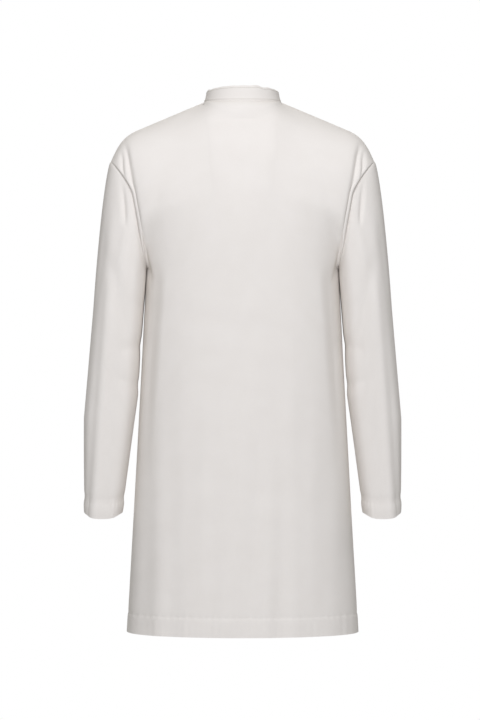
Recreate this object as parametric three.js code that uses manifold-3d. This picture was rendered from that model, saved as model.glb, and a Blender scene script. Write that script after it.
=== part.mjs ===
// A long-sleeved, knee-clear lab coat with a stand collar, cut from separate panels.
// Millimetres, +Z up. The origin is the middle of the neck opening, level with the
// centre-back neck seam. The wearer's front faces -Y and the wearer's left is +X.
import * as THREE from "three";
import { mergeVertices } from "three/addons/utils/BufferGeometryUtils.js";
import Module from "manifold-3d";

const wasm = await Module();
wasm.setup();

// ---------------------------------------------------------------- driving dimensions
const body = {
  backLength: 853, // centre-back neck seam to hem
  hemHalfWidth: 186,
  hemBackDepth: 126,
  hemFrontDepth: 130,
  chestHalfWidth: 155, // side seam at the underarm
  chestBackDepth: 104,
  chestFrontDepth: 112,
  underarmDrop: 267, // underarm point below the neck seam
  bladeFullness: 27, // how far the upper back and chest stand out of a flat slope
};
const shoulder = {
  halfWidth: 212, // to the dropped shoulder tip
  tipDrop: 93, // shoulder tip below the neck seam
  slope: 0.43, // fall of the shoulder line for each unit sideways
  roundFrom: 170, // where the line starts to round over the arm
  armholeBackDepth: 52,
  armholeFrontDepth: 55,
  armholeCurve: 3.2, // how late the seam swings out to the tip
};
const neck = {
  halfWidth: 62,
  backDepth: 45, // centre-back seam behind the shoulder plane
  frontDepth: 70,
  sideRise: 3,
  frontDrop: 63, // centre-front seam below the centre-back seam
  share: 0.34, // part of the panel's width that ends in the neck
};
const cloth = {
  panel: 1.4,
  facing: 1.0,
  collar: 1.1,
  tape: 0.9,
  gap: 0.4, // clearance between neighbouring plies and along seams
  trimGap: 0.8, // clearance of a small patch over a curved ply
};
const front = {
  overlap: 12.5, // each front runs this far past the centre
  facingWidth: 48,
  foldTop: 64, // half width of the fold line at the neck
  foldHem: 165, // half width of the fold line at the hem
  rampFrom: 20, // the outer front lifts over the press studs between these
  rampTo: 58,
};
const collar = { height: 27, sideHeight: 18, topInset: 4, seamGap: 1 };
const sleeve = {
  bicepsDrop: 330,
  elbowDrop: 411,
  cuffDrop: 660,
  cuffDip: 8, // the cuff edge is this much lower at its front and back
  outerAtBiceps: shoulder.halfWidth + 29,
  outerAtCuff: shoulder.halfWidth + 44,
  outerStraightDrop: 509, // below this the outer edge hangs plumb
  innerAtBiceps: 161,
  innerAtElbow: 167,
  innerBendDrop: 471, // below this the sleeve tapers from the inside
  innerAtBend: 170,
  innerAtCuff: 196,
  bicepsHalfDepth: 60,
  cuffHalfDepth: 44,
  headFullness: 12,
  underarmStand: 1.6, // the sleeve stands this far off the side seam at the underarm
};
const pockets = {
  side: { x0: 22, x1: 130, top: -470, bottom: -640 },
  chest: { x0: 22, x1: 84, top: -200, bottom: -300 },
};
const studs = {
  drops: [88, 208, 328, 448, 568],
  capRadius: 6,
  capHeight: 1.0,
  shankRadius: 1.5,
  shankClearance: 0.5,
  socketRadius: 5.5,
  socketHeight: 1.0,
  studRadius: 5,
  studHeight: 0.6,
  headRadius: 1.9,
  headHeight: 0.9,
  headClearance: 0.3, // between the stud's head and the socket's mouth
  postHeight: 0.8,
  sides: 8,
};
const loop = {
  halfWidth: 17,
  length: 42,
  strap: 6,
  thick: 1.2,
  inset: 2, // from the neck seam above its ends
  drop: 4,
};
const trims = { tapeLow: 1.945, tapeHigh: 1.985 }; // rows of the back neck tape
const label = { halfWidth: 20, top: -19, bottom: -49, thick: 0.6, gap: 1.2 };

// How far the outer face of each ply stands off the base surface, inside to outside.
const ply = {};
ply.underPanel = cloth.panel + cloth.gap + 0.2;
ply.underFacing = ply.underPanel - cloth.panel - cloth.gap;
ply.post = ply.underFacing - cloth.facing - cloth.trimGap;
ply.stud = ply.underPanel + cloth.gap + studs.studHeight;
ply.socket = ply.stud + studs.headHeight + cloth.gap + studs.socketHeight;
ply.overFacing = ply.socket + cloth.trimGap + cloth.facing;
ply.overPanel = ply.overFacing + cloth.gap + cloth.panel;
ply.cap = ply.overPanel + cloth.gap + studs.capHeight;

// ---------------------------------------------------------------- small helpers
const mix = (a, b, t) => a + (b - a) * t;
const clamp01 = (t) => Math.min(1, Math.max(0, t));
const smooth = (t) => clamp01(t) ** 2 * (3 - 2 * clamp01(t));
const quarter = Math.PI / 2;
const back = 1;
const frontSide = -1;

// Finds where a rising function reaches a value.
function solve(rising, target, low, high) {
  for (let i = 0; i < 40; i++) {
    const middle = (low + high) / 2;
    if (rising(middle) < target) low = middle;
    else high = middle;
  }
  return (low + high) / 2;
}

// ---------------------------------------------------------------- the body surface
// u runs across a panel from -1 at the right side seam to 1 at the left one.
// v runs from 0 at the hem to 1 at the underarm and 2 at the shoulder and neck seam.
function lowerPoint(side, u, v) {
  const hemDepth = side === back ? body.hemBackDepth : body.hemFrontDepth;
  const chestDepth = side === back ? body.chestBackDepth : body.chestFrontDepth;
  const width = mix(body.hemHalfWidth, body.chestHalfWidth, v);
  const depth = mix(hemDepth, chestDepth, v);
  return new THREE.Vector3(
    width * Math.sin(u * quarter),
    side * depth * Math.cos(u * quarter),
    mix(-body.backLength, -body.underarmDrop, v),
  );
}

// The neck seam, by the angle round the neck from the centre back.
function neckPoint(angle) {
  const middle = (neck.backDepth - neck.frontDepth) / 2;
  const radius = (neck.backDepth + neck.frontDepth) / 2;
  const along = Math.cos(angle);
  const z = along > 0
    ? neck.sideRise * (1 - along * along)
    : neck.sideRise - (neck.sideRise + neck.frontDrop) * (-along) ** 1.5;
  return new THREE.Vector3(neck.halfWidth * Math.sin(angle), middle + radius * along, z);
}

function shoulderPoint(x) {
  const start = neckPoint(quarter);
  const share = (x - neck.halfWidth) / (shoulder.halfWidth - neck.halfWidth);
  const straight = neck.sideRise - shoulder.slope * (x - neck.halfWidth);
  const tipFall = shoulder.tipDrop + neck.sideRise
    - shoulder.slope * (shoulder.halfWidth - neck.halfWidth);
  const turn = Math.max(0, (x - shoulder.roundFrom) / (shoulder.halfWidth - shoulder.roundFrom));
  return new THREE.Vector3(x, mix(start.y, 0, share), straight - tipFall * turn ** 3);
}

function topPoint(side, u) {
  const reach = Math.abs(u);
  const sign = u < 0 ? -1 : 1;
  let point;
  if (reach < neck.share) {
    const turn = quarter * (reach / neck.share);
    point = neckPoint(side === back ? turn : Math.PI - turn);
  } else {
    const share = (reach - neck.share) / (1 - neck.share);
    point = shoulderPoint(mix(neck.halfWidth, shoulder.halfWidth, share));
  }
  point.x *= sign;
  return point;
}

// The armhole seam of the left side: s is 0 at the underarm and 1 at the shoulder tip.
function armholePoint(side, s) {
  const rise = (1 - Math.cos(Math.PI * s)) / 2;
  const depth = side === back ? shoulder.armholeBackDepth : shoulder.armholeFrontDepth;
  return new THREE.Vector3(
    mix(body.chestHalfWidth, shoulder.halfWidth, rise ** shoulder.armholeCurve),
    side * depth * Math.sin(Math.PI * clamp01(s)) ** 0.8,
    mix(-body.underarmDrop, -shoulder.tipDrop, rise),
  );
}

function bodyPoint(side, u, v) {
  if (v <= 1) return lowerPoint(side, u, v);
  const s = v - 1;
  const sign = u < 0 ? -1 : 1;
  const edge = armholePoint(side, s);
  const straight = lowerPoint(side, 1, 1).lerp(topPoint(side, 1), s);
  const pull = edge.sub(straight).multiplyScalar(Math.abs(u) ** 2.5);
  pull.x *= sign;
  const point = lowerPoint(side, u, 1).lerp(topPoint(side, u), s).add(pull);
  point.y += side * body.bladeFullness * Math.sin(Math.PI * s) * (1 - u ** 4);
  return point;
}

function surfaceNormal(at, u, v) {
  const step = 1e-3;
  const across = at(u + step, v).sub(at(u - step, v));
  const up = at(u, v + step).sub(at(u, v - step));
  return across.cross(up).normalize();
}

// Plies that meet at a side or shoulder seam share their direction there, so they butt squarely.
function bodyNormal(side, u, v) {
  const topEdge = Math.min(v, 2 - 2e-3);
  const n = surfaceNormal((a, b) => bodyPoint(side, a, b), u, topEdge);
  if (n.y * side < 0) n.negate();
  const onSideSeam = Math.abs(u) > 0.99 && v <= 1;
  const onShoulder = v > 1.98 && Math.abs(u) >= neck.share;
  if (onSideSeam || onShoulder) n.y = 0;
  if (v === 0) n.z = 0; // the hem ends in one level edge
  return n.normalize();
}

const bodyX = (side, v, x) => {
  const share = solve((u) => bodyPoint(side, u, v).x, Math.abs(x), 0, 1);
  return x < 0 ? -share : share;
};
const bodyZ = (side, u, z) => solve((v) => bodyPoint(side, u, v).z, z, 0, 2);

// Panel coordinates of a place given in millimetres across and up.
function locate(side, x, z) {
  let u = 0;
  let v = 1;
  for (let i = 0; i < 12; i++) {
    v = bodyZ(side, u, z);
    u = bodyX(side, v, x);
  }
  return [u, v];
}

// ---------------------------------------------------------------- solids
function closedGeometry(points, faces) {
  const geometry = new THREE.BufferGeometry();
  geometry.setAttribute("position", new THREE.Float32BufferAttribute(points.flat(), 3));
  geometry.setIndex(faces.flat());
  return geometry;
}

// A ply between two grids of points. A ring's last column joins its first.
function plyGeometry(outer, inner, ring = false) {
  const rows = outer.length;
  const columns = outer[0].length;
  const points = [...outer.flat(), ...inner.flat()].map((p) => [p.x, p.y, p.z]);
  const half = rows * columns;
  const faces = [];
  const quad = (a, b, c, d) => faces.push([a, b, c], [a, c, d]);
  const lastColumn = ring ? columns : columns - 1;
  for (let j = 0; j < rows - 1; j++) {
    for (let i = 0; i < lastColumn; i++) {
      const next = (i + 1) % columns;
      const corners = [j * columns + i, j * columns + next];
      corners.push((j + 1) * columns + next, (j + 1) * columns + i);
      quad(...corners);
      quad(...corners.map((c) => c + half).reverse());
    }
  }
  for (let i = 0; i < lastColumn; i++) {
    const next = (i + 1) % columns;
    const top = (rows - 1) * columns;
    quad(next, i, i + half, next + half);
    quad(top + i, top + next, top + next + half, top + i + half);
  }
  if (!ring) {
    for (let j = 0; j < rows - 1; j++) {
      const low = j * columns;
      const high = low + columns;
      const end = columns - 1;
      quad(low, high, high + half, low + half);
      quad(high + end, low + end, low + end + half, high + end + half);
    }
  }
  return facingOut(closedGeometry(points, faces));
}

function signedVolume(geometry) {
  const p = geometry.getAttribute("position");
  const corner = (i) => new THREE.Vector3().fromBufferAttribute(p, geometry.index.array[i]);
  let volume = 0;
  for (let i = 0; i < geometry.index.count; i += 3) {
    volume += corner(i).dot(corner(i + 1).cross(corner(i + 2))) / 6;
  }
  return volume;
}

function facingOut(geometry) {
  if (signedVolume(geometry) < 0) {
    const order = geometry.index.array;
    for (let i = 0; i < order.length; i += 3) {
      [order[i + 1], order[i + 2]] = [order[i + 2], order[i + 1]];
    }
  }
  return geometry;
}

// A ply of the body surface. place(a, b) gives panel coordinates for a and b from 0 to 1.
function bodyPly(side, place, lift, thick, columns, rows) {
  const outer = [];
  const inner = [];
  for (let j = 0; j <= rows; j++) {
    outer.push([]);
    inner.push([]);
    for (let i = 0; i <= columns; i++) {
      const [u, v] = place(i / columns, j / rows);
      const n = bodyNormal(side, u, v);
      const stand = lift(u, v);
      outer[j].push(bodyPoint(side, u, v).addScaledVector(n, stand));
      inner[j].push(bodyPoint(side, u, v).addScaledVector(n, stand - thick));
    }
  }
  return plyGeometry(outer, inner);
}

// The same ply on the other side of the body.
function mirrored(geometry) {
  const copy = geometry.clone();
  copy.applyMatrix4(new THREE.Matrix4().makeScale(-1, 1, 1));
  return facingOut(copy);
}

function toSolid(geometry) {
  const bare = geometry.clone();
  for (const name of ["normal", "uv"]) bare.deleteAttribute(name);
  const merged = mergeVertices(bare, 1e-4);
  return new wasm.Manifold(new wasm.Mesh({
    numProp: 3,
    vertProperties: merged.getAttribute("position").array,
    triVerts: new Uint32Array(merged.index.array),
  }));
}

function toGeometry(solid) {
  const mesh = solid.getMesh();
  const geometry = new THREE.BufferGeometry();
  geometry.setAttribute("position", new THREE.BufferAttribute(mesh.vertProperties, 3));
  geometry.setIndex(new THREE.BufferAttribute(mesh.triVerts, 1));
  return geometry;
}

function pierced(geometry, tools) {
  return toGeometry(tools.reduce((solid, tool) => solid.subtract(toSolid(tool)), toSolid(geometry)));
}

// ---------------------------------------------------------------- materials
function finish(color, roughness, metalness = 0) {
  return new THREE.MeshStandardMaterial({ color, roughness, metalness, side: THREE.DoubleSide });
}
const clothFinish = finish(0xe9e6df, 0.86);
const facingFinish = finish(0xe6e2da, 0.86);
const tapeFinish = finish(0xf0ede6, 0.7);
const labelFinish = finish(0xf7f6f2, 0.55);
const studFinish = finish(0xdedbd4, 0.35);

const coat = new THREE.Group();
function add(name, geometry, material) {
  const mesh = new THREE.Mesh(geometry, material);
  mesh.name = name;
  coat.add(mesh);
  return mesh;
}

// ---------------------------------------------------------------- back and side fronts
const lowerRows = 3;
const upperRows = 10;
const panelRows = lowerRows + upperRows;
const seamShare = cloth.gap / body.underarmDrop; // the seam clearance as a share of the upper rows
const topRow = 2 - seamShare;
const sideShare = (2 * cloth.gap) / (Math.PI * body.hemHalfWidth);
const backColumns = 24;

// Rows are close together where the panels round over the shoulder.
function rowAt(b) {
  const row = b * panelRows;
  return row < lowerRows ? row / lowerRows : mix(1, topRow, (row - lowerRows) / upperRows);
}

function backPanel() {
  const edge = 1 - sideShare;
  const place = (a, b) => [mix(-edge, edge, a), rowAt(b)];
  return bodyPly(back, place, () => 0, cloth.panel, backColumns, panelRows);
}

// The line that a front folds back along, straight from the neck to the hem.
const foldX = (z) => mix(front.foldTop, front.foldHem, clamp01(-z / body.backLength));
function foldShare(v, gap) {
  const guess = bodyX(frontSide, v, foldX(lowerPoint(frontSide, 0, v).z));
  const z = bodyPoint(frontSide, guess, v).z;
  return bodyX(frontSide, v, foldX(z) + gap);
}

function frontSidePanel() {
  const place = (a, b) => {
    const v = rowAt(b);
    return [mix(foldShare(v, cloth.gap), 1 - sideShare, a), v];
  };
  return bodyPly(frontSide, place, () => 0, cloth.panel, 6, panelRows);
}

// ---------------------------------------------------------------- opening fronts
// The right front lifts over the left one and its press studs near the centre.
function overLift(outerLift) {
  return (u, v) => {
    const x = Math.abs(bodyPoint(frontSide, u, v).x);
    const past = u < 0 ? 0 : x; // the drawn half is the left one, and u below 0 is past the centre
    return mix(outerLift, ply.underPanel - (ply.overPanel - outerLift),
      smooth((past - front.rampFrom) / (front.rampTo - front.rampFrom)));
  };
}

const facingColumns = 7;
const frontEdge = (v) => bodyX(frontSide, v, -front.overlap);
const facingEdge = (v) => bodyX(frontSide, v, front.facingWidth);

function facingPly(lift) {
  const place = (a, b) => {
    const v = rowAt(b);
    return [mix(frontEdge(v), facingEdge(v), a), v];
  };
  return bodyPly(frontSide, place, lift, cloth.facing, facingColumns, panelRows);
}

// The panel keeps the facing's columns, so that the two plies stay parallel.
function openingFront(lift) {
  const place = (a, b) => {
    const v = rowAt(b);
    if (a <= 0.5) return [mix(frontEdge(v), facingEdge(v), 2 * a), v];
    return [mix(facingEdge(v), foldShare(v, -cloth.gap), 2 * a - 1), v];
  };
  return bodyPly(frontSide, place, lift, cloth.panel, 2 * facingColumns, panelRows);
}

function pocketPatch(pocket, lift) {
  const { x0, x1, top, bottom } = pocket;
  const place = (a, b) => locate(frontSide, mix(x0, x1, a), mix(bottom, top, b));
  return bodyPly(frontSide, place, lift, cloth.facing, 7, 3);
}

// ---------------------------------------------------------------- press studs
// Stands a lathed piece on the centre front, its own +Y along the outward normal.
function onCentreFront(geometry, drop, stand) {
  const [u, v] = locate(frontSide, 0, -drop);
  const n = bodyNormal(frontSide, u, v);
  n.x = 0;
  n.normalize();
  const place = bodyPoint(frontSide, u, v).addScaledVector(n, stand);
  place.x = 0;
  const turn = new THREE.Quaternion().setFromUnitVectors(new THREE.Vector3(0, 1, 0), n);
  return geometry.applyQuaternion(turn).translate(place.x, place.y, place.z);
}

function lathed(profile) {
  const points = profile.map(([r, y]) => new THREE.Vector2(r, y));
  const bare = new THREE.LatheGeometry(points, studs.sides);
  for (const name of ["normal", "uv"]) bare.deleteAttribute(name);
  return facingOut(mergeVertices(bare, 1e-4));
}

function holeThroughFront(drop, radius) {
  const tool = new THREE.CylinderGeometry(radius, radius, 40, studs.sides);
  return onCentreFront(tool, drop, 0);
}

function capPiece() {
  const shank = ply.cap - ply.socket - studs.capHeight - cloth.gap;
  const rim = studs.capRadius;
  return lathed([
    [0, -shank], [studs.shankRadius, -shank], [studs.shankRadius, 0], [rim, 0],
    [rim, 0.4 * studs.capHeight], [0.7 * rim, studs.capHeight], [0, studs.capHeight],
  ]);
}

function socketPiece() {
  const rim = studs.socketRadius;
  const mouth = studs.headRadius + studs.headClearance;
  return lathed([
    [0, 0], [0, -0.4 * studs.socketHeight], [mouth, -0.4 * studs.socketHeight],
    [mouth, -studs.socketHeight], [rim, -studs.socketHeight], [rim, 0], [0, 0],
  ]);
}

function studPiece() {
  const rim = studs.studRadius;
  const head = studs.headRadius;
  return lathed([
    [0, -studs.studHeight], [rim, -studs.studHeight], [rim, 0], [0.75 * head, 0],
    [head, 0.5 * studs.headHeight], [0.7 * head, studs.headHeight], [0, studs.headHeight],
  ]);
}

function postPiece() {
  const rim = studs.studRadius;
  const shank = ply.stud - studs.studHeight - cloth.gap - ply.post;
  return lathed([
    [0, -studs.postHeight], [rim, -studs.postHeight], [rim, 0], [studs.shankRadius, 0],
    [studs.shankRadius, shank], [0, shank],
  ]);
}

// ---------------------------------------------------------------- collar
// One ply of the stand collar between two angles round the neck from the centre back.
function collarPly(from, to, base, rise, columns) {
  const outer = [];
  const inner = [];
  for (const b of [0, 0.5, 1]) {
    const outerRow = [];
    const innerRow = [];
    for (let i = 0; i <= columns; i++) {
      const angle = mix(from, to, i / columns);
      const seam = neckPoint(angle);
      const n = new THREE.Vector3(Math.sin(angle), Math.cos(angle), 0).normalize();
      const lift = collarLift(angle, rise);
      const height = mix(collar.height, collar.sideHeight, Math.sin(angle) ** 2);
      const clear = cloth.gap + collar.seamGap + lift;
      seam.z += mix(clear, height, b);
      seam.addScaledVector(n, base + lift - b * collar.topInset);
      outerRow.push(seam.clone());
      innerRow.push(seam.clone().addScaledVector(n, -cloth.collar));
    }
    outer.push(outerRow);
    inner.push(innerRow);
  }
  return plyGeometry(outer, inner);
}

// The collar lifts with the front it is sewn to.
function collarLift(angle, rise) {
  if (angle < quarter) return 0;
  const beside = angle > Math.PI ? 0 : neck.halfWidth * Math.sin(angle);
  const share = smooth((beside - front.rampFrom) / (front.rampTo - front.rampFrom));
  return mix(rise, 0, share);
}

// ---------------------------------------------------------------- sleeves
// phi is 0 along the outside of the arm, a quarter turn at the back and a half turn inside.
const sleeveOuter = (drop) => drop < sleeve.outerStraightDrop
  ? mix(sleeve.outerAtBiceps, sleeve.outerAtCuff,
    (drop - sleeve.bicepsDrop) / (sleeve.outerStraightDrop - sleeve.bicepsDrop))
  : sleeve.outerAtCuff;

function sleeveInner(drop) {
  const { bicepsDrop, elbowDrop, innerBendDrop, cuffDrop } = sleeve;
  if (drop < elbowDrop) {
    return mix(sleeve.innerAtBiceps, sleeve.innerAtElbow, (drop - bicepsDrop) / (elbowDrop - bicepsDrop));
  }
  if (drop < innerBendDrop) {
    return mix(sleeve.innerAtElbow, sleeve.innerAtBend, (drop - elbowDrop) / (innerBendDrop - elbowDrop));
  }
  return mix(sleeve.innerAtBend, sleeve.innerAtCuff, (drop - innerBendDrop) / (cuffDrop - innerBendDrop));
}

const sleeveDepth = (drop) => mix(sleeve.bicepsHalfDepth, sleeve.cuffHalfDepth,
  (drop - sleeve.bicepsDrop) / (sleeve.cuffDrop - sleeve.bicepsDrop));

function armPoint(phi, drop) {
  const outerX = sleeveOuter(drop);
  const innerX = sleeveInner(drop);
  const nearCuff = clamp01((drop - sleeve.innerBendDrop) / (sleeve.cuffDrop - sleeve.innerBendDrop));
  return new THREE.Vector3(
    (outerX + innerX) / 2 + ((outerX - innerX) / 2) * Math.cos(phi),
    sleeveDepth(drop) * Math.sin(phi),
    -drop - sleeve.cuffDip * nearCuff ** 3 * Math.sin(phi) ** 2,
  );
}

// w is 0 at the armhole seam and 1 at the biceps.
function headPoint(phi, w) {
  const turn = ((phi % (2 * Math.PI)) + 2 * Math.PI) % (2 * Math.PI);
  const side = turn <= Math.PI ? back : frontSide;
  const s = 1 - (turn <= Math.PI ? turn : 2 * Math.PI - turn) / Math.PI;
  const point = armholePoint(side, s).lerp(armPoint(phi, sleeve.bicepsDrop), w);
  const full = sleeve.headFullness * Math.max(w, 1e-6) ** 0.3 * (1 - w) * Math.cos(turn / 2) ** 2;
  point.x += full * Math.max(0, Math.cos(turn));
  point.y += side * full * Math.abs(Math.sin(turn));
  point.x += sleeve.underarmStand * (1 - w) * Math.sin(turn / 2) ** 2;
  return point;
}

// h is below 1 on the sleeve head, and 1 and more down the arm.
function sleevePoint(phi, h) {
  if (h <= 1) return headPoint(phi, h);
  return armPoint(phi, mix(sleeve.bicepsDrop, sleeve.cuffDrop, h - 1));
}
const armShare = (drop) => 1 + (drop - sleeve.bicepsDrop) / (sleeve.cuffDrop - sleeve.bicepsDrop);

function sleeveTube(stations) {
  const around = 20;
  const outer = [];
  const inner = [];
  for (const h of stations) {
    const outerRow = [];
    const innerRow = [];
    for (let i = 0; i < around; i++) {
      const phi = (2 * Math.PI * i) / around;
      const point = sleevePoint(phi, h);
      const level = Math.abs(h - armShare(sleeve.elbowDrop)) < 0.01 || h > 1.99;
      const n = surfaceNormal(sleevePoint, phi, Math.max(h, 0.02));
      const middle = new THREE.Vector3((sleevePoint(0, h).x + sleevePoint(Math.PI, h).x) / 2, 0, point.z);
      if (n.dot(point.clone().sub(middle)) < 0) n.negate();
      if (level) n.z = 0;
      n.normalize();
      outerRow.push(point);
      innerRow.push(point.clone().addScaledVector(n, -cloth.panel));
    }
    outer.push(outerRow);
    inner.push(innerRow);
  }
  return plyGeometry(outer, inner, true);
}

const elbowGap = cloth.gap / 2;
const upperSleeve = sleeveTube([
  0.008, 0.06, 0.15, 0.3, 0.5, 0.75, 1, 1.12, armShare(sleeve.elbowDrop - elbowGap),
]);
const lowerSleeve = sleeveTube([
  armShare(sleeve.elbowDrop + elbowGap), armShare(sleeve.innerBendDrop), 1.58, 1.72, 1.86, 2,
]);

// ---------------------------------------------------------------- neck trims
const trimLift = () => -cloth.panel - cloth.trimGap;

// The tape keeps the back panel's columns, so that it follows the same facets.
function neckTape() {
  const columns = 2 * Math.floor((neck.share * backColumns) / 2 - 1);
  const reach = (columns / backColumns) * (1 - sideShare);
  const place = (a, b) => [mix(-reach, reach, a), mix(trims.tapeLow, trims.tapeHigh, b)];
  return bodyPly(back, place, trimLift, cloth.tape, columns, 2);
}

function sizeLabel() {
  const { halfWidth, top, bottom } = label;
  const place = (a, b) => locate(back, mix(-halfWidth, halfWidth, a), mix(bottom, top, b));
  return bodyPly(back, place, () => -cloth.panel - label.gap, label.thick, 4, 3);
}

// A flat strap bent to a U, hanging from the neck seam inside the coat.
function hangerLoop() {
  const outline = new THREE.Shape();
  const r = loop.halfWidth;
  const inner = r - loop.strap;
  const straight = loop.length - r;
  outline.moveTo(-r, 0);
  outline.lineTo(-r, -straight);
  outline.absarc(0, -straight, r, Math.PI, 2 * Math.PI, false);
  outline.lineTo(r, 0);
  outline.lineTo(inner, 0);
  outline.lineTo(inner, -straight);
  outline.absarc(0, -straight, inner, 2 * Math.PI, Math.PI, true);
  outline.lineTo(-inner, 0);
  outline.closePath();
  const strap = new THREE.ExtrudeGeometry(outline, {
    depth: loop.thick, bevelEnabled: false, curveSegments: 8,
  });
  strap.rotateX(quarter);
  const overEnds = neckPoint(Math.asin(loop.halfWidth / neck.halfWidth));
  return strap.translate(0, overEnds.y - loop.inset, -loop.drop);
}

// ---------------------------------------------------------------- assembly
add("back_panel", backPanel(), clothFinish);
const sidePanel = frontSidePanel();
add("front_side_left", sidePanel, clothFinish);
add("front_side_right", mirrored(sidePanel), clothFinish);

const shankHole = studs.shankRadius + studs.shankClearance;
const shankHoles = studs.drops.map((drop) => holeThroughFront(drop, shankHole));
const underPanel = openingFront(() => ply.underPanel);
const underFacing = facingPly(() => ply.underFacing);
const overPanel = openingFront(overLift(ply.overPanel));
const overFacing = facingPly(overLift(ply.overFacing));
add("front_panel_left", pierced(underPanel, shankHoles), clothFinish);
add("front_facing_left", pierced(underFacing, shankHoles), facingFinish);
add("front_panel_right", pierced(mirrored(overPanel), shankHoles), clothFinish);
add("front_facing_right", pierced(mirrored(overFacing), shankHoles), facingFinish);

const patchStand = cloth.trimGap + cloth.facing;
const onUnder = () => ply.underPanel + patchStand;
const onOver = (u, v) => overLift(ply.overPanel)(u, v) + patchStand;
add("patch_pocket_left", pocketPatch(pockets.side, onUnder), clothFinish);
add("patch_pocket_right", mirrored(pocketPatch(pockets.side, onOver)), clothFinish);
add("chest_pocket", pocketPatch(pockets.chest, onUnder), clothFinish);

studs.drops.forEach((drop, i) => {
  const number = i + 1;
  add("snap_cap_" + number, onCentreFront(capPiece(), drop, ply.cap - studs.capHeight), studFinish);
  add("snap_socket_" + number, onCentreFront(socketPiece(), drop, ply.socket), studFinish);
  add("snap_stud_" + number, onCentreFront(studPiece(), drop, ply.stud), studFinish);
  add("snap_post_" + number, onCentreFront(postPiece(), drop, ply.post), studFinish);
});

const seamAngle = Math.asin(cloth.gap / neck.halfWidth);
const pastCentre = Math.PI + Math.asin(front.overlap / neck.halfWidth);
const innerPly = -cloth.collar - cloth.gap;
const overRise = ply.overPanel - ply.underPanel;
add("collar_back_outer", collarPly(-quarter, quarter, 0, 0, 16), clothFinish);
add("collar_back_inner", collarPly(-quarter, quarter, innerPly, 0, 16), clothFinish);
const halves = [["outer", 0], ["inner", innerPly]];
for (const [name, base] of halves) {
  const under = collarPly(quarter + 2 * seamAngle, pastCentre, base, 0, 12);
  const over = collarPly(quarter + 2 * seamAngle, pastCentre, base, overRise, 14);
  add("collar_left_" + name, under, clothFinish);
  add("collar_right_" + name, mirrored(over), clothFinish);
}

add("back_neck_tape", neckTape(), tapeFinish);
add("hanger_loop", hangerLoop(), tapeFinish);
add("size_label", sizeLabel(), labelFinish);

add("sleeve_upper_left", upperSleeve, clothFinish);
add("sleeve_upper_right", mirrored(upperSleeve), clothFinish);
add("sleeve_lower_left", lowerSleeve, clothFinish);
add("sleeve_lower_right", mirrored(lowerSleeve), clothFinish);

export default coat;
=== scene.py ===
import math

import bpy
import numpy as np
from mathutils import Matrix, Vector


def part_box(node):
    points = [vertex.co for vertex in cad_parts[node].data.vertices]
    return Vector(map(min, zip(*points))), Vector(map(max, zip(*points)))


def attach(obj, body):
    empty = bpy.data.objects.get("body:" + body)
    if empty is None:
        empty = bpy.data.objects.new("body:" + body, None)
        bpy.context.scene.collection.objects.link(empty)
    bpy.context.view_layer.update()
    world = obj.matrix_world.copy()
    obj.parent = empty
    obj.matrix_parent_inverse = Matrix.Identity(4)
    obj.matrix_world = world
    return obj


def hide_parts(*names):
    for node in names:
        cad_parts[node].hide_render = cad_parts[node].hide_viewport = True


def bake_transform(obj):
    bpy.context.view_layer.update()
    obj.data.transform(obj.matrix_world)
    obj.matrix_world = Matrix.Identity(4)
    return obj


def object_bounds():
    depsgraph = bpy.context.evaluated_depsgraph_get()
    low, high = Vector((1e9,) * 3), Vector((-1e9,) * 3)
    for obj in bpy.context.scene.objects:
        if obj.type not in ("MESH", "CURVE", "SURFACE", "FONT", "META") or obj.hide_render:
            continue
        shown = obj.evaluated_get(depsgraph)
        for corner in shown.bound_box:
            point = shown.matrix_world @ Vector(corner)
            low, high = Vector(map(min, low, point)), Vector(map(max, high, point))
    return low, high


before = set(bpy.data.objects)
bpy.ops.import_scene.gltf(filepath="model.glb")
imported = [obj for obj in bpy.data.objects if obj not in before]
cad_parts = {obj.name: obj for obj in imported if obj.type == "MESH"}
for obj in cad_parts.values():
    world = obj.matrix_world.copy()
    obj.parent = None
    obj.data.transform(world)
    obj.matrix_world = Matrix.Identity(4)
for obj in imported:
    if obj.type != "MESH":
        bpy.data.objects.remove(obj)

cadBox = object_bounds()
print("frame loaded:", len(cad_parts), "nodes")

studio = {
    "cameraDistance": 4.6,
    "frameHeight": 1.1665,  # metres of height that the camera sees at the coat
    "aimSide": 0.0042,  # the camera looks a touch off the coat's middle
    "aimHeight": -0.4146,
    "floorDrop": 0.60,  # floor below the hem
    "floorSize": 6.4,
    "skyLight": 0.27,  # how brightly the white sky lights the coat
    "floorTint": (0.8, 0.8, 0.79, 1),
    "lights": {
        "keyLight": {"place": (0.0, 2.8, 1.45), "aim": (0, 0, -0.1), "size": (2.2, 1.4), "power": 72.0},
        "frontFill": {"place": (0.0, -3.4, 1.2), "aim": (0, 0, -0.4), "size": (2.4, 2.0), "power": 70.0},
        "topFill": {"place": (0.0, 0.3, 2.6), "aim": (0, 0, 0), "size": (1.6, 1.2), "power": 10.0},
    },
}


def makeCamera():
    data = bpy.data.cameras.new("studioCamera")
    data.lens = data.sensor_width * studio["cameraDistance"] / studio["frameHeight"]
    data.clip_end = 100
    camera = bpy.data.objects.new("studioCamera", data)
    bpy.context.scene.collection.objects.link(camera)
    camera.location = (studio["aimSide"], studio["cameraDistance"], studio["aimHeight"])
    camera.rotation_euler = (math.radians(90), 0, math.radians(180))
    bpy.context.scene.camera = camera


makeCamera()


def areaLight(name, place, aim, size, power):
    data = bpy.data.lights.new(name, "AREA")
    data.shape = "RECTANGLE"
    data.size, data.size_y = size
    data.energy = power
    light = bpy.data.objects.new(name, data)
    light.location = place
    light.rotation_euler = (Vector(aim) - Vector(place)).to_track_quat("-Z", "Y").to_euler()
    bpy.context.scene.collection.objects.link(light)


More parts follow.
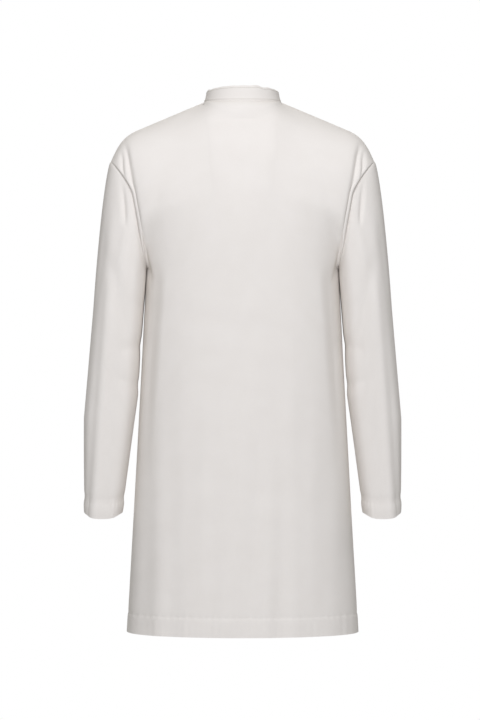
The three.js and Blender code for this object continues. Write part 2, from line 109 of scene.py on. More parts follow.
def makeStudio():
    hemHeight = cadBox[0][2]
    for name, light in studio["lights"].items():
        areaLight(name, light["place"], light["aim"], light["size"], light["power"])
    floorMesh = bpy.data.meshes.new("studioFloor")
    half = studio["floorSize"] / 2
    low = hemHeight - studio["floorDrop"]
    corners = [(-half, -half, low), (half, -half, low), (half, half, low), (-half, half, low)]
    floorMesh.from_pydata(corners, [], [(0, 1, 2, 3)])
    floor = bpy.data.objects.new("studioFloor", floorMesh)
    bpy.context.scene.collection.objects.link(floor)
    paint = bpy.data.materials.new("paleFloor")
    paint.use_nodes = True
    shader = paint.node_tree.nodes["Principled BSDF"]
    shader.inputs["Base Color"].default_value = studio["floorTint"]
    shader.inputs["Roughness"].default_value = 0.9
    floorMesh.materials.append(paint)
    # the sky looks white, and lights the coat more softly than it looks
    world = bpy.data.worlds.new("studioSky")
    world.use_nodes = True
    tree = world.node_tree
    background = tree.nodes["Background"]
    background.inputs["Color"].default_value = (1, 1, 1, 1)
    seen = tree.nodes.new("ShaderNodeLightPath")
    strength = tree.nodes.new("ShaderNodeMapRange")
    strength.inputs["To Min"].default_value = studio["skyLight"]
    strength.inputs["To Max"].default_value = 1.0
    tree.links.new(seen.outputs["Is Camera Ray"], strength.inputs["Value"])
    tree.links.new(strength.outputs["Result"], background.inputs["Strength"])
    bpy.context.scene.world = world
    bpy.context.scene.view_settings.view_transform = "Standard"
    bpy.context.scene.view_settings.look = "None"


makeStudio()
print("studio ready")


def mix(a, b, t):
    return a + (b - a) * t


def smooth(t):
    t = np.clip(t, 0.0, 1.0)
    return t * t * (3 - 2 * t)


def bell(t):
    return np.exp(-t * t)


def between(z, low, high, soft):
    # 1 from low to high, fading over soft at either end
    return smooth((z - low) / soft) * smooth((high - z) / soft)


def ripple(a, seed, count=5):
    # a smooth wander about 0, the same on every run
    total = 0.0
    for i in range(count):
        turn = 1.0 + i * 0.73
        total = total + np.sin(a * turn + seed * 2.1 + i * 1.7) / count
    return total

backLow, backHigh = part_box("back_panel")
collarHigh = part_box("collar_back_outer")[1]
cut = {
    "hemHalf": 0.186,
    "chestHalf": 0.1548,
    "hemBack": float(backHigh[1]),
    "hemFront": 0.130,
    "chestBack": 0.104,
    "chestFront": 0.112,
    "underarm": -0.267,
    "hem": float(backLow[2]),
    "shoulderHalf": float(backHigh[0]),
    "shoulderTip": -0.093,
    "shoulderSlope": 0.43,
    "shoulderRoundFrom": 0.165,
    "armholeBack": 0.056,
    "armholeFront": 0.058,
    "neckHalf": 0.062,
    "neckBack": float(collarHigh[1]),
    "neckFront": 0.070,
    "neckSideRise": 0.003,
    "neckFrontDrop": 0.063,
    "rollFrom": 2.7,
    "napeRound": 0.8,
    "shoulderRound": 0.56,
    "flareLine": 1.08,
    "depthLine": 1.9,
    "squareAtArm": 0.66,
    "squareness": 0.82,  # below 1 keeps the back and front fuller towards the side seams
    "neckFade": 1.15,  # how fast the neckline's shape dies away below the seam
    "widestFade": 0.034,
    "rowCrowd": 1.8,  # rows crowd to the shoulder seam, where the cloth rolls over
    "edgeShare": 0.0006,  # panels stop this share short of their side seams
    "swingFrom": 0.68,  # share of the armhole's rise where it swings out to the shoulder tip
    "creaseLean": 0.030,  # how far the armhole leans out below that
}
cloth = {
    "panel": 0.0010,
    "facing": 0.0008,
    "turned": 0.0008,  # one ply of a turned hem or a pocket
    "plyGap": 0.0003,  # between a front and its facing
}
back, frontSide = 1, -1
quarter = math.pi / 2


def lowerBody(side, u, v):
    hemDepth = cut["hemBack"] if side == back else cut["hemFront"]
    chestDepth = cut["chestBack"] if side == back else cut["chestFront"]
    width = mix(cut["chestHalf"], cut["hemHalf"], (1 - v) ** cut["flareLine"])
    depth = mix(chestDepth, hemDepth, (1 - v) ** cut["depthLine"])
    x = width * np.sin(u * quarter)
    square = mix(cut["squareness"], cut["squareAtArm"], smooth((v - 0.45) / 0.5))
    y = side * depth * np.clip(np.cos(u * quarter), 0, 1) ** square
    z = mix(cut["hem"], cut["underarm"], v) + 0 * u
    return x, y, z


def neckSeam(angle):
    middle = (cut["neckBack"] - cut["neckFront"]) / 2
    radius = (cut["neckBack"] + cut["neckFront"]) / 2
    along = np.cos(angle)
    rise = cut["neckSideRise"]
    behind = rise * (1 - along ** 2)
    ahead = rise - (rise + cut["neckFrontDrop"]) * np.clip(-along, 0, 1) ** 1.5
    return cut["neckHalf"] * np.sin(angle), middle + radius * along, np.where(along > 0, behind, ahead)


def shoulderSeam(x):
    share = (x - cut["neckHalf"]) / (cut["shoulderHalf"] - cut["neckHalf"])
    straight = cut["neckSideRise"] - cut["shoulderSlope"] * (x - cut["neckHalf"])
    tipLine = cut["neckSideRise"] - cut["shoulderSlope"] * (cut["shoulderHalf"] - cut["neckHalf"])
    turn = np.clip((x - cut["shoulderRoundFrom"]) / (cut["shoulderHalf"] - cut["shoulderRoundFrom"]), 0, 1)
    middle = (cut["neckBack"] - cut["neckFront"]) / 2
    return x, mix(middle, 0.0, share), straight - (tipLine - cut["shoulderTip"]) * turn ** 3.2


def topEdge(side, u):
    x = cut["shoulderHalf"] * np.sin(np.abs(u) * quarter)
    turn = np.arcsin(np.clip(x / cut["neckHalf"], 0, 1))
    _, ny, nz = neckSeam(turn if side == back else math.pi - turn)
    _, sy, sz = shoulderSeam(x)
    inNeck = x < cut["neckHalf"]
    return np.where(u < 0, -x, x), np.where(inNeck, ny, sy), np.where(inNeck, nz, sz)


def blurred(values, width):
    # values on an even run of points, averaged over a width given in points
    if width <= 0:
        return values
    reach = int(width * 4) + 1
    weights = bell(np.arange(-reach, reach + 1) / (width * 1.414))
    before = values[0] + (values[1] - values[0]) * np.arange(-reach, 0)
    after = values[-1] + (values[-1] - values[-2]) * np.arange(1, reach + 1)
    return np.convolve(np.concatenate([before, values, after]), weights / weights.sum(), "valid")


softRun = {
    "step": 0.0005,
    "reach": 0.26,
    "widths": np.array([0.0, 0.001, 0.002, 0.004, 0.007, 0.011, 0.016, 0.022, 0.028, 0.034]),
}
softRun["x"] = np.arange(-softRun["reach"], softRun["reach"] + softRun["step"] / 2, softRun["step"])


def softTables(side):
    share = np.arcsin(np.clip(np.abs(softRun["x"]) / cut["shoulderHalf"], 0, 1)) / quarter
    exact = topEdge(side, share)
    return [np.stack([blurred(line, w / softRun["step"]) for w in softRun["widths"]]) for line in exact[1:]]


def tableValue(table, level, x):
    k = np.clip(level.astype(int), 0, len(table) - 2)
    place = (x + softRun["reach"]) / softRun["step"]
    i = np.clip(place.astype(int), 0, table.shape[1] - 2)
    f, t = place - i, level - k
    near = mix(table[k, i], table[k, i + 1], f)
    return mix(near, mix(table[k + 1, i], table[k + 1, i + 1], f), t)


softTops = {side: softTables(side) for side in (back, frontSide)}


def softTop(side, u, s):
    # the top edge as the rows below it feel it: the neckline fades into the shoulders' line
    x, y, z = topEdge(side, u)
    width = np.minimum((1 - s) * 0.27 * cut["neckFade"], cut["widestFade"])
    level = np.interp(width, softRun["widths"], np.arange(len(softRun["widths"])))
    yTable, zTable = softTops[side]
    share = np.clip(width / 0.003, 0, 1) * smooth((0.150 - np.abs(x)) / 0.05)
    return x, mix(y, tableValue(yTable, level, x), share), mix(z, tableValue(zTable, level, x), share)


def armhole(side, s):
    # s is 0 at the underarm and 1 at the shoulder tip
    s = np.clip(s, 0, 1)
    rise = (1 - np.cos(math.pi * s)) / 2
    z = mix(cut["underarm"], cut["shoulderTip"], rise)
    crease = mix(cut["chestHalf"], cut["chestHalf"] + cut["creaseLean"], rise)
    late = np.clip((rise - cut["swingFrom"]) / (1 - cut["swingFrom"]), 0, 1)
    swing = (cut["shoulderHalf"] - cut["chestHalf"] - cut["creaseLean"]) * late ** 1.5
    depth = cut["armholeBack"] if side == back else cut["armholeFront"]
    y = side * depth * np.sin(math.pi * s) ** 0.64
    return crease + swing, y, z


def bodyBase(side, u, v):
    u, v = np.broadcast_arrays(np.asarray(u, float), np.asarray(v, float))
    low = lowerBody(side, u, np.minimum(v, 1.0))
    s = np.clip(v - 1, 0, 1)
    under = lowerBody(side, u, np.ones_like(v))
    top = softTop(side, u, s)
    widen = s ** 1.9
    x = mix(under[0], top[0], widen)
    z = mix(under[2], top[2], s)
    beside = smooth(np.abs(top[0]) / cut["neckHalf"])
    roll = (1 - s ** cut["rollFrom"]) ** mix(cut["napeRound"], cut["shoulderRound"], beside)
    y = mix(top[1], under[1], roll)
    one = np.ones_like(s)
    edgeLow = lowerBody(side, one, one)
    edgeTop = topEdge(side, one)
    edge = armhole(side, s)
    pull = np.abs(u) ** mix(11.0, 3.0, smooth(s / 0.45))
    sign = np.where(u < 0, -1.0, 1.0)
    x = x + sign * pull * (edge[0] - mix(edgeLow[0], edgeTop[0], widen))
    y = y + pull * (edge[1] - mix(edgeTop[1], edgeLow[1], roll))
    z = z + pull * (edge[2] - mix(edgeLow[2], edgeTop[2], s))
    upper = v > 1
    return [np.where(upper, a, b) for a, b in zip((x, y, z), low)]


def shareAtX(side, v, x):
    # the share across a panel at which it reaches x, row by row
    low = np.zeros_like(v)
    high = np.ones_like(v)
    for _ in range(30):
        middle = (low + high) / 2
        short = bodyBase(side, middle, v)[0] < abs(x)
        low = np.where(short, middle, low)
        high = np.where(short, high, middle)
    return np.sign(x) * (low + high) / 2


def shareAtZ(side, u, z):
    low = np.zeros_like(u)
    high = np.full_like(u, 2.0)
    for _ in range(20):
        middle = (low + high) / 2
        short = bodyBase(side, u, middle)[2] < z
        low = np.where(short, middle, low)
        high = np.where(short, high, middle)
    return (low + high) / 2


def placeAt(side, x, z):
    u = np.zeros_like(x)
    v = np.ones_like(x)
    for _ in range(6):
        v = shareAtZ(side, u, z)
        low = np.zeros_like(x)
        high = np.ones_like(x)
        for _ in range(20):
            middle = (low + high) / 2
            short = bodyBase(side, middle, v)[0] < np.abs(x)
            low = np.where(short, middle, low)
            high = np.where(short, high, middle)
        u = np.sign(x) * (low + high) / 2
    return u, v


folds = {
    # two creases run down from the shoulder; ends are places across and up
    "main": {"top": (0.188, -0.071), "foot": (0.153, -0.267), "depth": 0.0042, "width": 0.0046},
    "second": {"top": (0.1945, -0.080), "foot": (0.189, -0.178), "depth": 0.0032, "width": 0.0035},
    "sideTop": (0.119, -0.262),
    "sideFoot": (0.136, -0.500),
    "sideStep": 0.0045,
    "sideWidth": 0.020,
    "hemTurn": 0.0305,
    "hemLift": 0.0006,
    "pucker": 0.0004,
    "puckerPitch": 0.011,
    "drawIn": 0.0004,
    "bodyCalm": 0.12,  # share of the panel beside the armhole over which creases fade
    "sleeveCalm": 0.16,
}


def lineX(z, top, foot):
    return mix(top[0], foot[0], (z - top[1]) / (foot[1] - top[1]))


def valley(x, z, crease, soft=0.03):
    # a crease that dies away over soft at its ends
    top, foot = crease["top"], crease["foot"]
    away = (np.abs(x) - lineX(z, top, foot)) / crease["width"]
    return -crease["depth"] * bell(away) * between(z, foot[1] - soft, top[1] + soft * 0.4, soft)


def hemWork(along, height, stitchHeight, turnDepth):
    # the doubled turning stands out a little, and puckers along its stitching
    turned = folds["hemLift"] * smooth((turnDepth - height) / 0.003)
    drawn = bell((height - stitchHeight) / 0.0045)
    waves = np.sin(along * 2 * math.pi / folds["puckerPitch"] + 1.5 * ripple(along * 40, 3))
    soft = ripple(along * 170, 5) * 0.8 * smooth((0.045 - height) / 0.03)
    return turned - folds["drawIn"] * drawn + folds["pucker"] * (waves * drawn * 0.6 + soft)


def backDrape(x, z):
    stand = valley(x, z, folds["main"]) + valley(x, z, folds["second"], 0.025)
    # the blade cloth steps back beside the arm, from the underarm down
    edge = lineX(z, folds["sideTop"], folds["sideFoot"])
    window = smooth((folds["sideTop"][1] + 0.012 - z) / 0.05)
    window = window * smooth((z - folds["sideFoot"][1] + 0.14) / 0.26)
    step = smooth((np.abs(x) - edge) / folds["sideWidth"]) * smooth((0.168 - np.abs(x)) / 0.02)
    stand = stand - folds["sideStep"] * step * window
    # long soft waves down to the hem
    low = smooth((-0.30 - z) / 0.4)
    waves = ripple(x * 46, 1) * 0.0016 + ripple(x * 30 + z * 3.2, 4) * 0.0022
    stand = stand + low * waves
    calm = ripple(x * 26 + z * 9, 7) * 0.0006 + ripple(z * 31 - x * 7, 8) * 0.0004
    # a soft pull from the underarm towards the blade
    fromPull = np.abs(x) - mix(0.148, 0.120, (-0.20 - z) / -0.10)
    pull = -0.0016 * bell(fromPull / 0.010) * between(z, -0.262, -0.12, 0.05)
    return stand + calm + pull


def frontDrape(x, z):
    low = smooth((-0.25 - z) / 0.4)
    waves = ripple(x * 34 + 2, 11) * 0.0016 + ripple(x * 19 + z * 2.0, 12) * 0.0020
    crease = valley(x, z, folds["main"])
    chest = 0.004 * bell((np.abs(x) - 0.075) / 0.05) * bell((z + 0.235) / 0.075)
    return low * waves + crease + chest + ripple(x * 24 - z * 8, 15) * 0.0006


def normals(point, u, v):
    step = 1e-3
    across = np.stack(point(u + step, v), -1) - np.stack(point(u - step, v), -1)
    up = np.stack(point(u, v + step), -1) - np.stack(point(u, v - step), -1)
    n = np.cross(across, up)
    length = np.linalg.norm(n, axis=-1, keepdims=True)
    return n / np.maximum(length, 1e-12)


def bodySurface(side, drape, lift):
    # gives the outer face of a ply of the body at any share across and up
    def point(u, v):
        topped = np.minimum(v, 1.996)
        n = normals(lambda a, b: bodyBase(side, a, b), u, topped)
        outward = np.where((n[..., 1] * side < 0), -1.0, 1.0)[..., None]
        n = n * outward
        base = np.stack(bodyBase(side, u, v), -1)
        # seams between panels keep their line
        seamCalm = smooth((1 - np.abs(u)) / folds["bodyCalm"]) * smooth((2 - v) / 0.05)
        stand = drape(base[..., 0], base[..., 2]) * seamCalm + lift(u, base[..., 0])
        # the cloth sinks into its armhole seam
        stand = stand - 0.0010 * bell((1 - np.abs(u)) / 0.007) * smooth((v - 1.05) / 0.2)
        height = base[..., 2] - cut["hem"]
        stand = stand + hemWork(base[..., 0] + side * 0.3, height, folds["hemTurn"], folds["hemTurn"])
        whole = base + n * stand[..., None]
        return whole[..., 0], whole[..., 1], whole[..., 2]
    return point


def linkMesh(name, points, faces, material, smoothFaces=True):
    mesh = bpy.data.meshes.new(name)
    mesh.from_pydata([tuple(p) for p in points], [], faces)
    mesh.validate()
    if smoothFaces:
        mesh.polygons.foreach_set("use_smooth", [True] * len(mesh.polygons))
    mesh.materials.append(material)
    piece = bpy.data.objects.new(name, mesh)
    bpy.context.scene.collection.objects.link(piece)
    return piece


def gridFaces(rows, columns, ring):
    last = columns if ring else columns - 1
    j, i = np.meshgrid(np.arange(rows - 1), np.arange(last), indexing="ij")
    j, i = j.ravel(), i.ravel()
    n = (i + 1) % columns
    return np.stack([j * columns + i, j * columns + n, (j + 1) * columns + n, (j + 1) * columns + i], -1)


def rimLoops(rows, columns, ring):
    bottom = list(range(columns))
    top = [(rows - 1) * columns + i for i in range(columns)]
    if ring:
        return [bottom + bottom[:1], (top + top[:1])[::-1]]
    right = [j * columns + columns - 1 for j in range(rows)]
    left = [j * columns for j in range(rows)]
    return [bottom + right[1:] + top[::-1][1:] + left[::-1][1:]]


def layWeave(mesh, coords):
    layer = mesh.uv_layers.new(name="weaveMap")
    corner = np.empty(len(mesh.loops), dtype=np.int64)
    mesh.loops.foreach_get("vertex_index", corner)
    layer.data.foreach_set("uv", coords[corner].ravel())


def plyPiece(name, outer, thick, material, ring=False):
    # a closed piece of cloth between its outer face and one set in by its thickness
    rows, columns = outer.shape[:2]
    if ring:
        wrapped = np.concatenate([outer[:, -1:], outer, outer[:, :1]], 1)
        across = wrapped[:, 2:] - wrapped[:, :-2]
    else:
        across = np.gradient(outer, axis=1)
    up = np.gradient(outer, axis=0)
    n = np.cross(across, up)
    n /= np.maximum(np.linalg.norm(n, axis=-1, keepdims=True), 1e-12)
    inner = outer - n * thick
    half = rows * columns
    points = np.concatenate([outer.reshape(-1, 3), inner.reshape(-1, 3)])
    faces = gridFaces(rows, columns, ring)
    inside = faces[:, ::-1] + half
    rims = []
    for loop in rimLoops(rows, columns, ring):
        for a, b in zip(loop[:-1], loop[1:]):
            rims.append((b, a, a + half, b + half))
    everyFace = faces.tolist() + inside.tolist() + rims
    piece = linkMesh(name, points, everyFace, material)
    mesh = piece.data
    # the cut edges stay crisp, so that butted panels shade as one cloth
    rimStart = len(faces) * 2
    sharp = set()
    for k in range(rimStart, len(everyFace)):
        for key in mesh.polygons[k].edge_keys:
            sharp.add(key)
    marks = [tuple(sorted(e.vertices)) in sharp for e in mesh.edges]
    mesh.attributes.new("sharp_edge", "BOOLEAN", "EDGE").data.foreach_set("value", marks)
    # cloth coordinates in metres, for the weave
    stepAcross = np.linalg.norm(np.diff(outer, axis=1), axis=-1).mean(0)
    stepUp = np.linalg.norm(np.diff(outer, axis=0), axis=-1).mean(1)
    au = np.concatenate([[0], np.cumsum(stepAcross)])
    av = np.concatenate([[0], np.cumsum(stepUp)])
    grid = np.stack(np.meshgrid(au, av), -1).reshape(-1, 2)
    coords = np.concatenate([grid, grid])
    layWeave(mesh, coords)
    return piece


def panelGrid(point, us, vs):
    # us may change from row to row
    vGrid = np.repeat(vs[:, None], us.shape[-1], 1)
    uGrid = us if us.ndim == 2 else np.repeat(us[None, :], len(vs), 0)
    return np.stack(point(uGrid, vGrid), -1)


def rowShares(count):
    # rows crowd towards the shoulder, where the cloth rolls over
    lower = np.linspace(0, 0.06, int(count * 0.12), endpoint=False)
    middle = np.linspace(0.06, 1, int(count * 0.40), endpoint=False)
    t = np.linspace(0, 1, count - len(lower) - len(middle))
    upper = 1 + (1 - (1 - t) ** cut["rowCrowd"])
    rows = np.concatenate([lower, middle, upper])
    rows[-1] = 2 - 1e-5
    return rows


def columnShares(count, edge):
    # columns crowd towards the neck corner and the side seams
    neckShare = math.asin(cut["neckHalf"] / cut["shoulderHalf"]) / quarter
    inNeck = int(count * 0.16)
    turn = np.linspace(0, quarter, inNeck, endpoint=False)
    near = np.arcsin(np.sin(turn) * cut["neckHalf"] / cut["shoulderHalf"]) / quarter
    t = np.linspace(0, 1, count // 2 - inNeck)
    far = mix(neckShare, edge, 1 - (1 - t) ** 1.25)
    halfRow = np.concatenate([near, far])
    return np.concatenate([-halfRow[::-1], halfRow[1:]])


def groupShell(name, inputs, outputs):
    tree = bpy.data.node_groups.new(name, "ShaderNodeTree")
    for label, kind, value in inputs:
        socket = tree.interface.new_socket(name=label, in_out="INPUT", socket_type="NodeSocket" + kind)
        if value is not None:
            socket.default_value = value
    for label, kind in outputs:
        tree.interface.new_socket(name=label, in_out="OUTPUT", socket_type="NodeSocket" + kind)
    return tree, tree.nodes.new("NodeGroupInput"), tree.nodes.new("NodeGroupOutput")


def mathNode(tree, operation, first, second=None):
    node = tree.nodes.new("ShaderNodeMath")
    node.operation = operation
    for socket, value in zip(node.inputs, (first, second)):
        if value is None:
            continue
        if isinstance(value, (int, float)):
            socket.default_value = value
        else:
            tree.links.new(value, socket)
    return node.outputs[0]


def makeTwillGroup():
    # a fine twill in cloth coordinates, with slubs and a soft unevenness
    tree, inside, outside = groupShell(
        "fineTwill",
        [("Coordinates", "Vector", None), ("Threads", "Float", 1600.0), ("Slub", "Float", 0.35)],
        [("Height", "Float"), ("Tone", "Float")])
    parts = tree.nodes.new("ShaderNodeSeparateXYZ")
    tree.links.new(inside.outputs["Coordinates"], parts.inputs[0])
    warp = mathNode(tree, "MULTIPLY", parts.outputs[0], inside.outputs["Threads"])
    weft = mathNode(tree, "MULTIPLY", parts.outputs[1], inside.outputs["Threads"])
    diagonal = mathNode(tree, "ADD", warp, weft)
    rib = mathNode(tree, "SINE", mathNode(tree, "MULTIPLY", diagonal, math.pi))
    cross = mathNode(tree, "SINE", mathNode(tree, "MULTIPLY", weft, 2 * math.pi))
    weave = mathNode(tree, "ADD", mathNode(tree, "MULTIPLY", rib, 0.5),
                     mathNode(tree, "MULTIPLY", cross, 0.25))
    slub = tree.nodes.new("ShaderNodeTexNoise")
    slub.inputs["Scale"].default_value = 420.0
    slub.inputs["Detail"].default_value = 3.0
    tree.links.new(inside.outputs["Coordinates"], slub.inputs["Vector"])
    uneven = mathNode(tree, "MULTIPLY", slub.outputs["Fac"], inside.outputs["Slub"])
    tree.links.new(mathNode(tree, "ADD", weave, uneven), outside.inputs["Height"])
    cloud = tree.nodes.new("ShaderNodeTexNoise")
    cloud.inputs["Scale"].default_value = 26.0
    cloud.inputs["Detail"].default_value = 4.0
    tree.links.new(inside.outputs["Coordinates"], cloud.inputs["Vector"])
    tone = mathNode(tree, "ADD", mathNode(tree, "MULTIPLY", cloud.outputs["Fac"], 0.7),
                    mathNode(tree, "MULTIPLY", slub.outputs["Fac"], 0.3))
    tree.links.new(tone, outside.inputs["Tone"])
    return tree


twillGroup = makeTwillGroup()
edgeShadeTint = (0.80, 0.775, 0.70)  # painted shade: the deeper, creamier colour where the cloth turns away from view, as a share of its shade colour


def clothMaterial(name, look):
    material = bpy.data.materials.new(name)
    material.use_nodes = True
    tree = material.node_tree
    shader = tree.nodes["Principled BSDF"]
    coords = tree.nodes.new("ShaderNodeUVMap")
    coords.uv_map = "weaveMap"
    twill = tree.nodes.new("ShaderNodeGroup")
    twill.node_tree = twillGroup
    twill.inputs["Threads"].default_value = look["threads"]
    tree.links.new(coords.outputs["UV"], twill.inputs["Coordinates"])
    tone = tree.nodes.new("ShaderNodeMix")
    tone.data_type = "RGBA"
    tone.inputs["A"].default_value = (*look["shade"], 1)
    tone.inputs["B"].default_value = (*look["light"], 1)
    tree.links.new(twill.outputs["Tone"], tone.inputs["Factor"])
    # painted shade: the colour turns deeper and creamier where the cloth turns away from view, darkening
    # its edges
    facing = tree.nodes.new("ShaderNodeLayerWeight")
    facing.inputs["Blend"].default_value = 0.35
    turned = mathNode(tree, "MULTIPLY", mathNode(tree, "POWER", facing.outputs["Facing"], 1.6), 0.75)
    edge = tree.nodes.new("ShaderNodeMix")
    edge.data_type = "RGBA"
    edge.inputs["B"].default_value = (*[c * k for c, k in zip(look["shade"], edgeShadeTint)], 1)
    tree.links.new(turned, edge.inputs["Factor"])
    tree.links.new(tone.outputs["Result"], edge.inputs["A"])
    tree.links.new(edge.outputs["Result"], shader.inputs["Base Color"])
    relief = tree.nodes.new("ShaderNodeBump")
    relief.inputs["Strength"].default_value = look["bump"]
    relief.inputs["Distance"].default_value = 0.0002
    tree.links.new(twill.outputs["Height"], relief.inputs["Height"])
    tree.links.new(relief.outputs["Normal"], shader.inputs["Normal"])
    rough = tree.nodes.new("ShaderNodeMapRange")
    rough.inputs["To Min"].default_value = look["roughness"] - 0.06
    rough.inputs["To Max"].default_value = look["roughness"] + 0.05
    tree.links.new(twill.outputs["Tone"], rough.inputs["Value"])
    tree.links.new(rough.outputs["Result"], shader.inputs["Roughness"])
    shader.inputs["Sheen Weight"].default_value = look["sheen"]
    shader.inputs["Sheen Roughness"].default_value = 0.45
    shader.inputs["Specular IOR Level"].default_value = 0.3
    return material


coatCloth = clothMaterial("coatTwill", {
    "light": (0.898, 0.866, 0.850), "shade": (0.838, 0.800, 0.776),
    "roughness": 0.82, "threads": 1500.0, "bump": 0.35, "sheen": 0.12})
facingCloth = clothMaterial("facingTwill", {
    "light": (0.88, 0.865, 0.83), "shade": (0.82, 0.80, 0.76),
    "roughness": 0.84, "threads": 1500.0, "bump": 0.35, "sheen": 0.10})
tapeCloth = clothMaterial("herringTape", {
    "light": (0.90, 0.885, 0.85), "shade": (0.80, 0.785, 0.74),
    "roughness": 0.7, "threads": 900.0, "bump": 0.8, "sheen": 0.15})
labelCloth = clothMaterial("satinLabel", {
    "light": (0.93, 0.93, 0.91), "shade": (0.88, 0.88, 0.86),
    "roughness": 0.45, "threads": 2400.0, "bump": 0.25, "sheen": 0.2})
print("materials ready")

detail = {"bodyColumns": 240, "bodyRows": 230, "frontColumns": 110, "sleeveAround": 132}


def noLift(u, _):
    return np.zeros_like(u)


backFace = bodySurface(back, backDrape, noLift)


def makeBack():
    edge = 1 - cut["edgeShare"]
    vs = rowShares(detail["bodyRows"])
    crowded = columnShares(detail["bodyColumns"], edge)
    even = np.linspace(-edge, edge, len(crowded))
    us = mix(even[None, :], crowded[None, :], smooth((vs[:, None] - 0.9) / 0.6))
    grid = panelGrid(backFace, us, vs)
    piece = plyPiece("coatBack", grid, cloth["panel"], coatCloth)
    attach(piece, "torso")
    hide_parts("back_panel")


makeBack()
print("back panel cut")

frontCut = {
    "overlap": 0.0125,
    "facing": 0.048,
    "facingInset": 0.0004,
    "overLift": 0.0060,  # the right front stands over the left one and its studs
    "underLift": 0.0005,
    "liftFrom": 0.020,
    "liftTo": 0.058,
    "foldTop": 0.064,  # the fold line's place at the neck
    "bendHalf": 0.038,
}


def liftOver(height):
    def lift(u, x):
        past = np.where(u < 0, 0.0, np.abs(x))
        share = smooth((past - frontCut["liftFrom"]) / (frontCut["liftTo"] - frontCut["liftFrom"]))
        return mix(height, 0.0, share)
    return lift


def mirroredGrid(grid):
    flipped = grid * np.array([-1, 1, 1])
    return flipped[:, ::-1]


def onSide(grid, side):
    # everything is drawn on the left side
    return grid if side == "left" else mirroredGrid(grid)


def bendLine(side):
    # the ends of a short line across the front's fold line, mirrored for the right front
    across = Vector((-0.9931, 0, -0.1173))
    onFold = Vector((frontCut["foldTop"], 0, 0))
    start = onFold - across * frontCut["bendHalf"]
    end = onFold + across * frontCut["bendHalf"]
    if side == "right":
        start.x, end.x = -start.x, -end.x
    return tuple(start), tuple(end)


def bendWithFront(piece, side):
    start, end = bendLine(side)
    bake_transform(piece)


def frontColumns(vs, edgeX, far, count):
    # shares across a front, from near its edge to the far side of the panel
    near = shareAtX(frontSide, vs, edgeX)
    t = np.linspace(0, 1, count)[None, :]
    return mix(near[:, None], far[:, None], t)


def makeFront(side, height):
    face = bodySurface(frontSide, frontDrape, liftOver(height))
    vs = rowShares(detail["bodyRows"])
    far = np.full_like(vs, 1 - cut["edgeShare"])
    us = frontColumns(vs, -frontCut["overlap"], far, detail["frontColumns"])
    grid = onSide(panelGrid(face, us, vs), side)[:, ::-1]
    piece = plyPiece("coatFront" + side.capitalize(), grid, cloth["panel"], coatCloth)
    bendWithFront(piece, side)
    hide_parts("front_panel_" + side, "front_side_" + side)
    return face


def makeFacing(side, face):
    vs = rowShares(150)
    far = shareAtX(frontSide, vs, frontCut["facing"])
    us = frontColumns(vs, frontCut["facingInset"] - frontCut["overlap"], far, 26)
    outer = panelGrid(face, us, vs)
    up = np.gradient(outer, axis=0)
    across = np.gradient(outer, axis=1)
    n = np.cross(across, up)
    n /= np.linalg.norm(n, axis=-1, keepdims=True)
    n *= np.where(n[..., 1] > 0, -1.0, 1.0)[..., None]
    grid = onSide(outer - n * (cloth["panel"] + cloth["plyGap"]), side)[:, ::-1]
    piece = plyPiece("frontFacing" + side.capitalize(), grid, cloth["facing"], facingCloth)
    bendWithFront(piece, side)
    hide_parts("front_facing_" + side)


leftFace = makeFront("left", frontCut["underLift"])
rightFace = makeFront("right", frontCut["overLift"])
makeFacing("left", leftFace)
makeFacing("right", rightFace)
print("fronts and facings cut")

arm = {
    # heights below the neck seam
    "biceps": -0.330, "elbow": -0.411, "innerBend": -0.471, "outerStraight": -0.509, "cuff": -0.660,
    # places out from the coat's middle
    "outerBiceps": 0.2405, "outerCuff": 0.2560,
    "innerBiceps": 0.1605, "innerElbow": 0.1668, "innerAtBend": 0.1700, "innerCuff": 0.1965,
    "bicepsDepth": 0.058, "cuffDepth": 0.040,
    "headFull": 0.0125, "cuffDip": 0.010, "cuffTurn": 0.020,
    # below 1 these make the tube squarer than an oval
    "flatten": 0.80, "innerFlatten": 0.62, "squareness": 0.78,
}


def armOuter(z):
    t = np.clip((z - arm["biceps"]) / (arm["outerStraight"] - arm["biceps"]), 0, 1)
    return mix(arm["outerBiceps"], arm["outerCuff"], t)


def armInner(z):
    heights = [arm["cuff"], arm["innerBend"], arm["elbow"], arm["biceps"]]
    places = [arm["innerCuff"], arm["innerAtBend"], arm["innerElbow"], arm["innerBiceps"]]
    return np.interp(z, heights, places)


def armTube(phi, z):
    t = np.clip((z - arm["biceps"]) / (arm["cuff"] - arm["biceps"]), 0, 1)
    outerX, innerX = armOuter(z), armInner(z)
    depth = mix(arm["bicepsDepth"], arm["cuffDepth"], t)
    c, s = np.cos(phi), np.sin(phi)
    # a hanging sleeve is flatter than an oval at the back and front
    bent = np.abs(c) ** np.where(c > 0, arm["flatten"], arm["innerFlatten"])
    x = (outerX + innerX) / 2 + (outerX - innerX) / 2 * np.sign(c) * bent
    y = depth * np.sign(s) * np.abs(s) ** arm["squareness"]
    nearCuff = np.clip((z - arm["innerBend"]) / (arm["cuff"] - arm["innerBend"]), 0, 1)
    return x, y, z - arm["cuffDip"] * nearCuff ** 4 * s ** 2


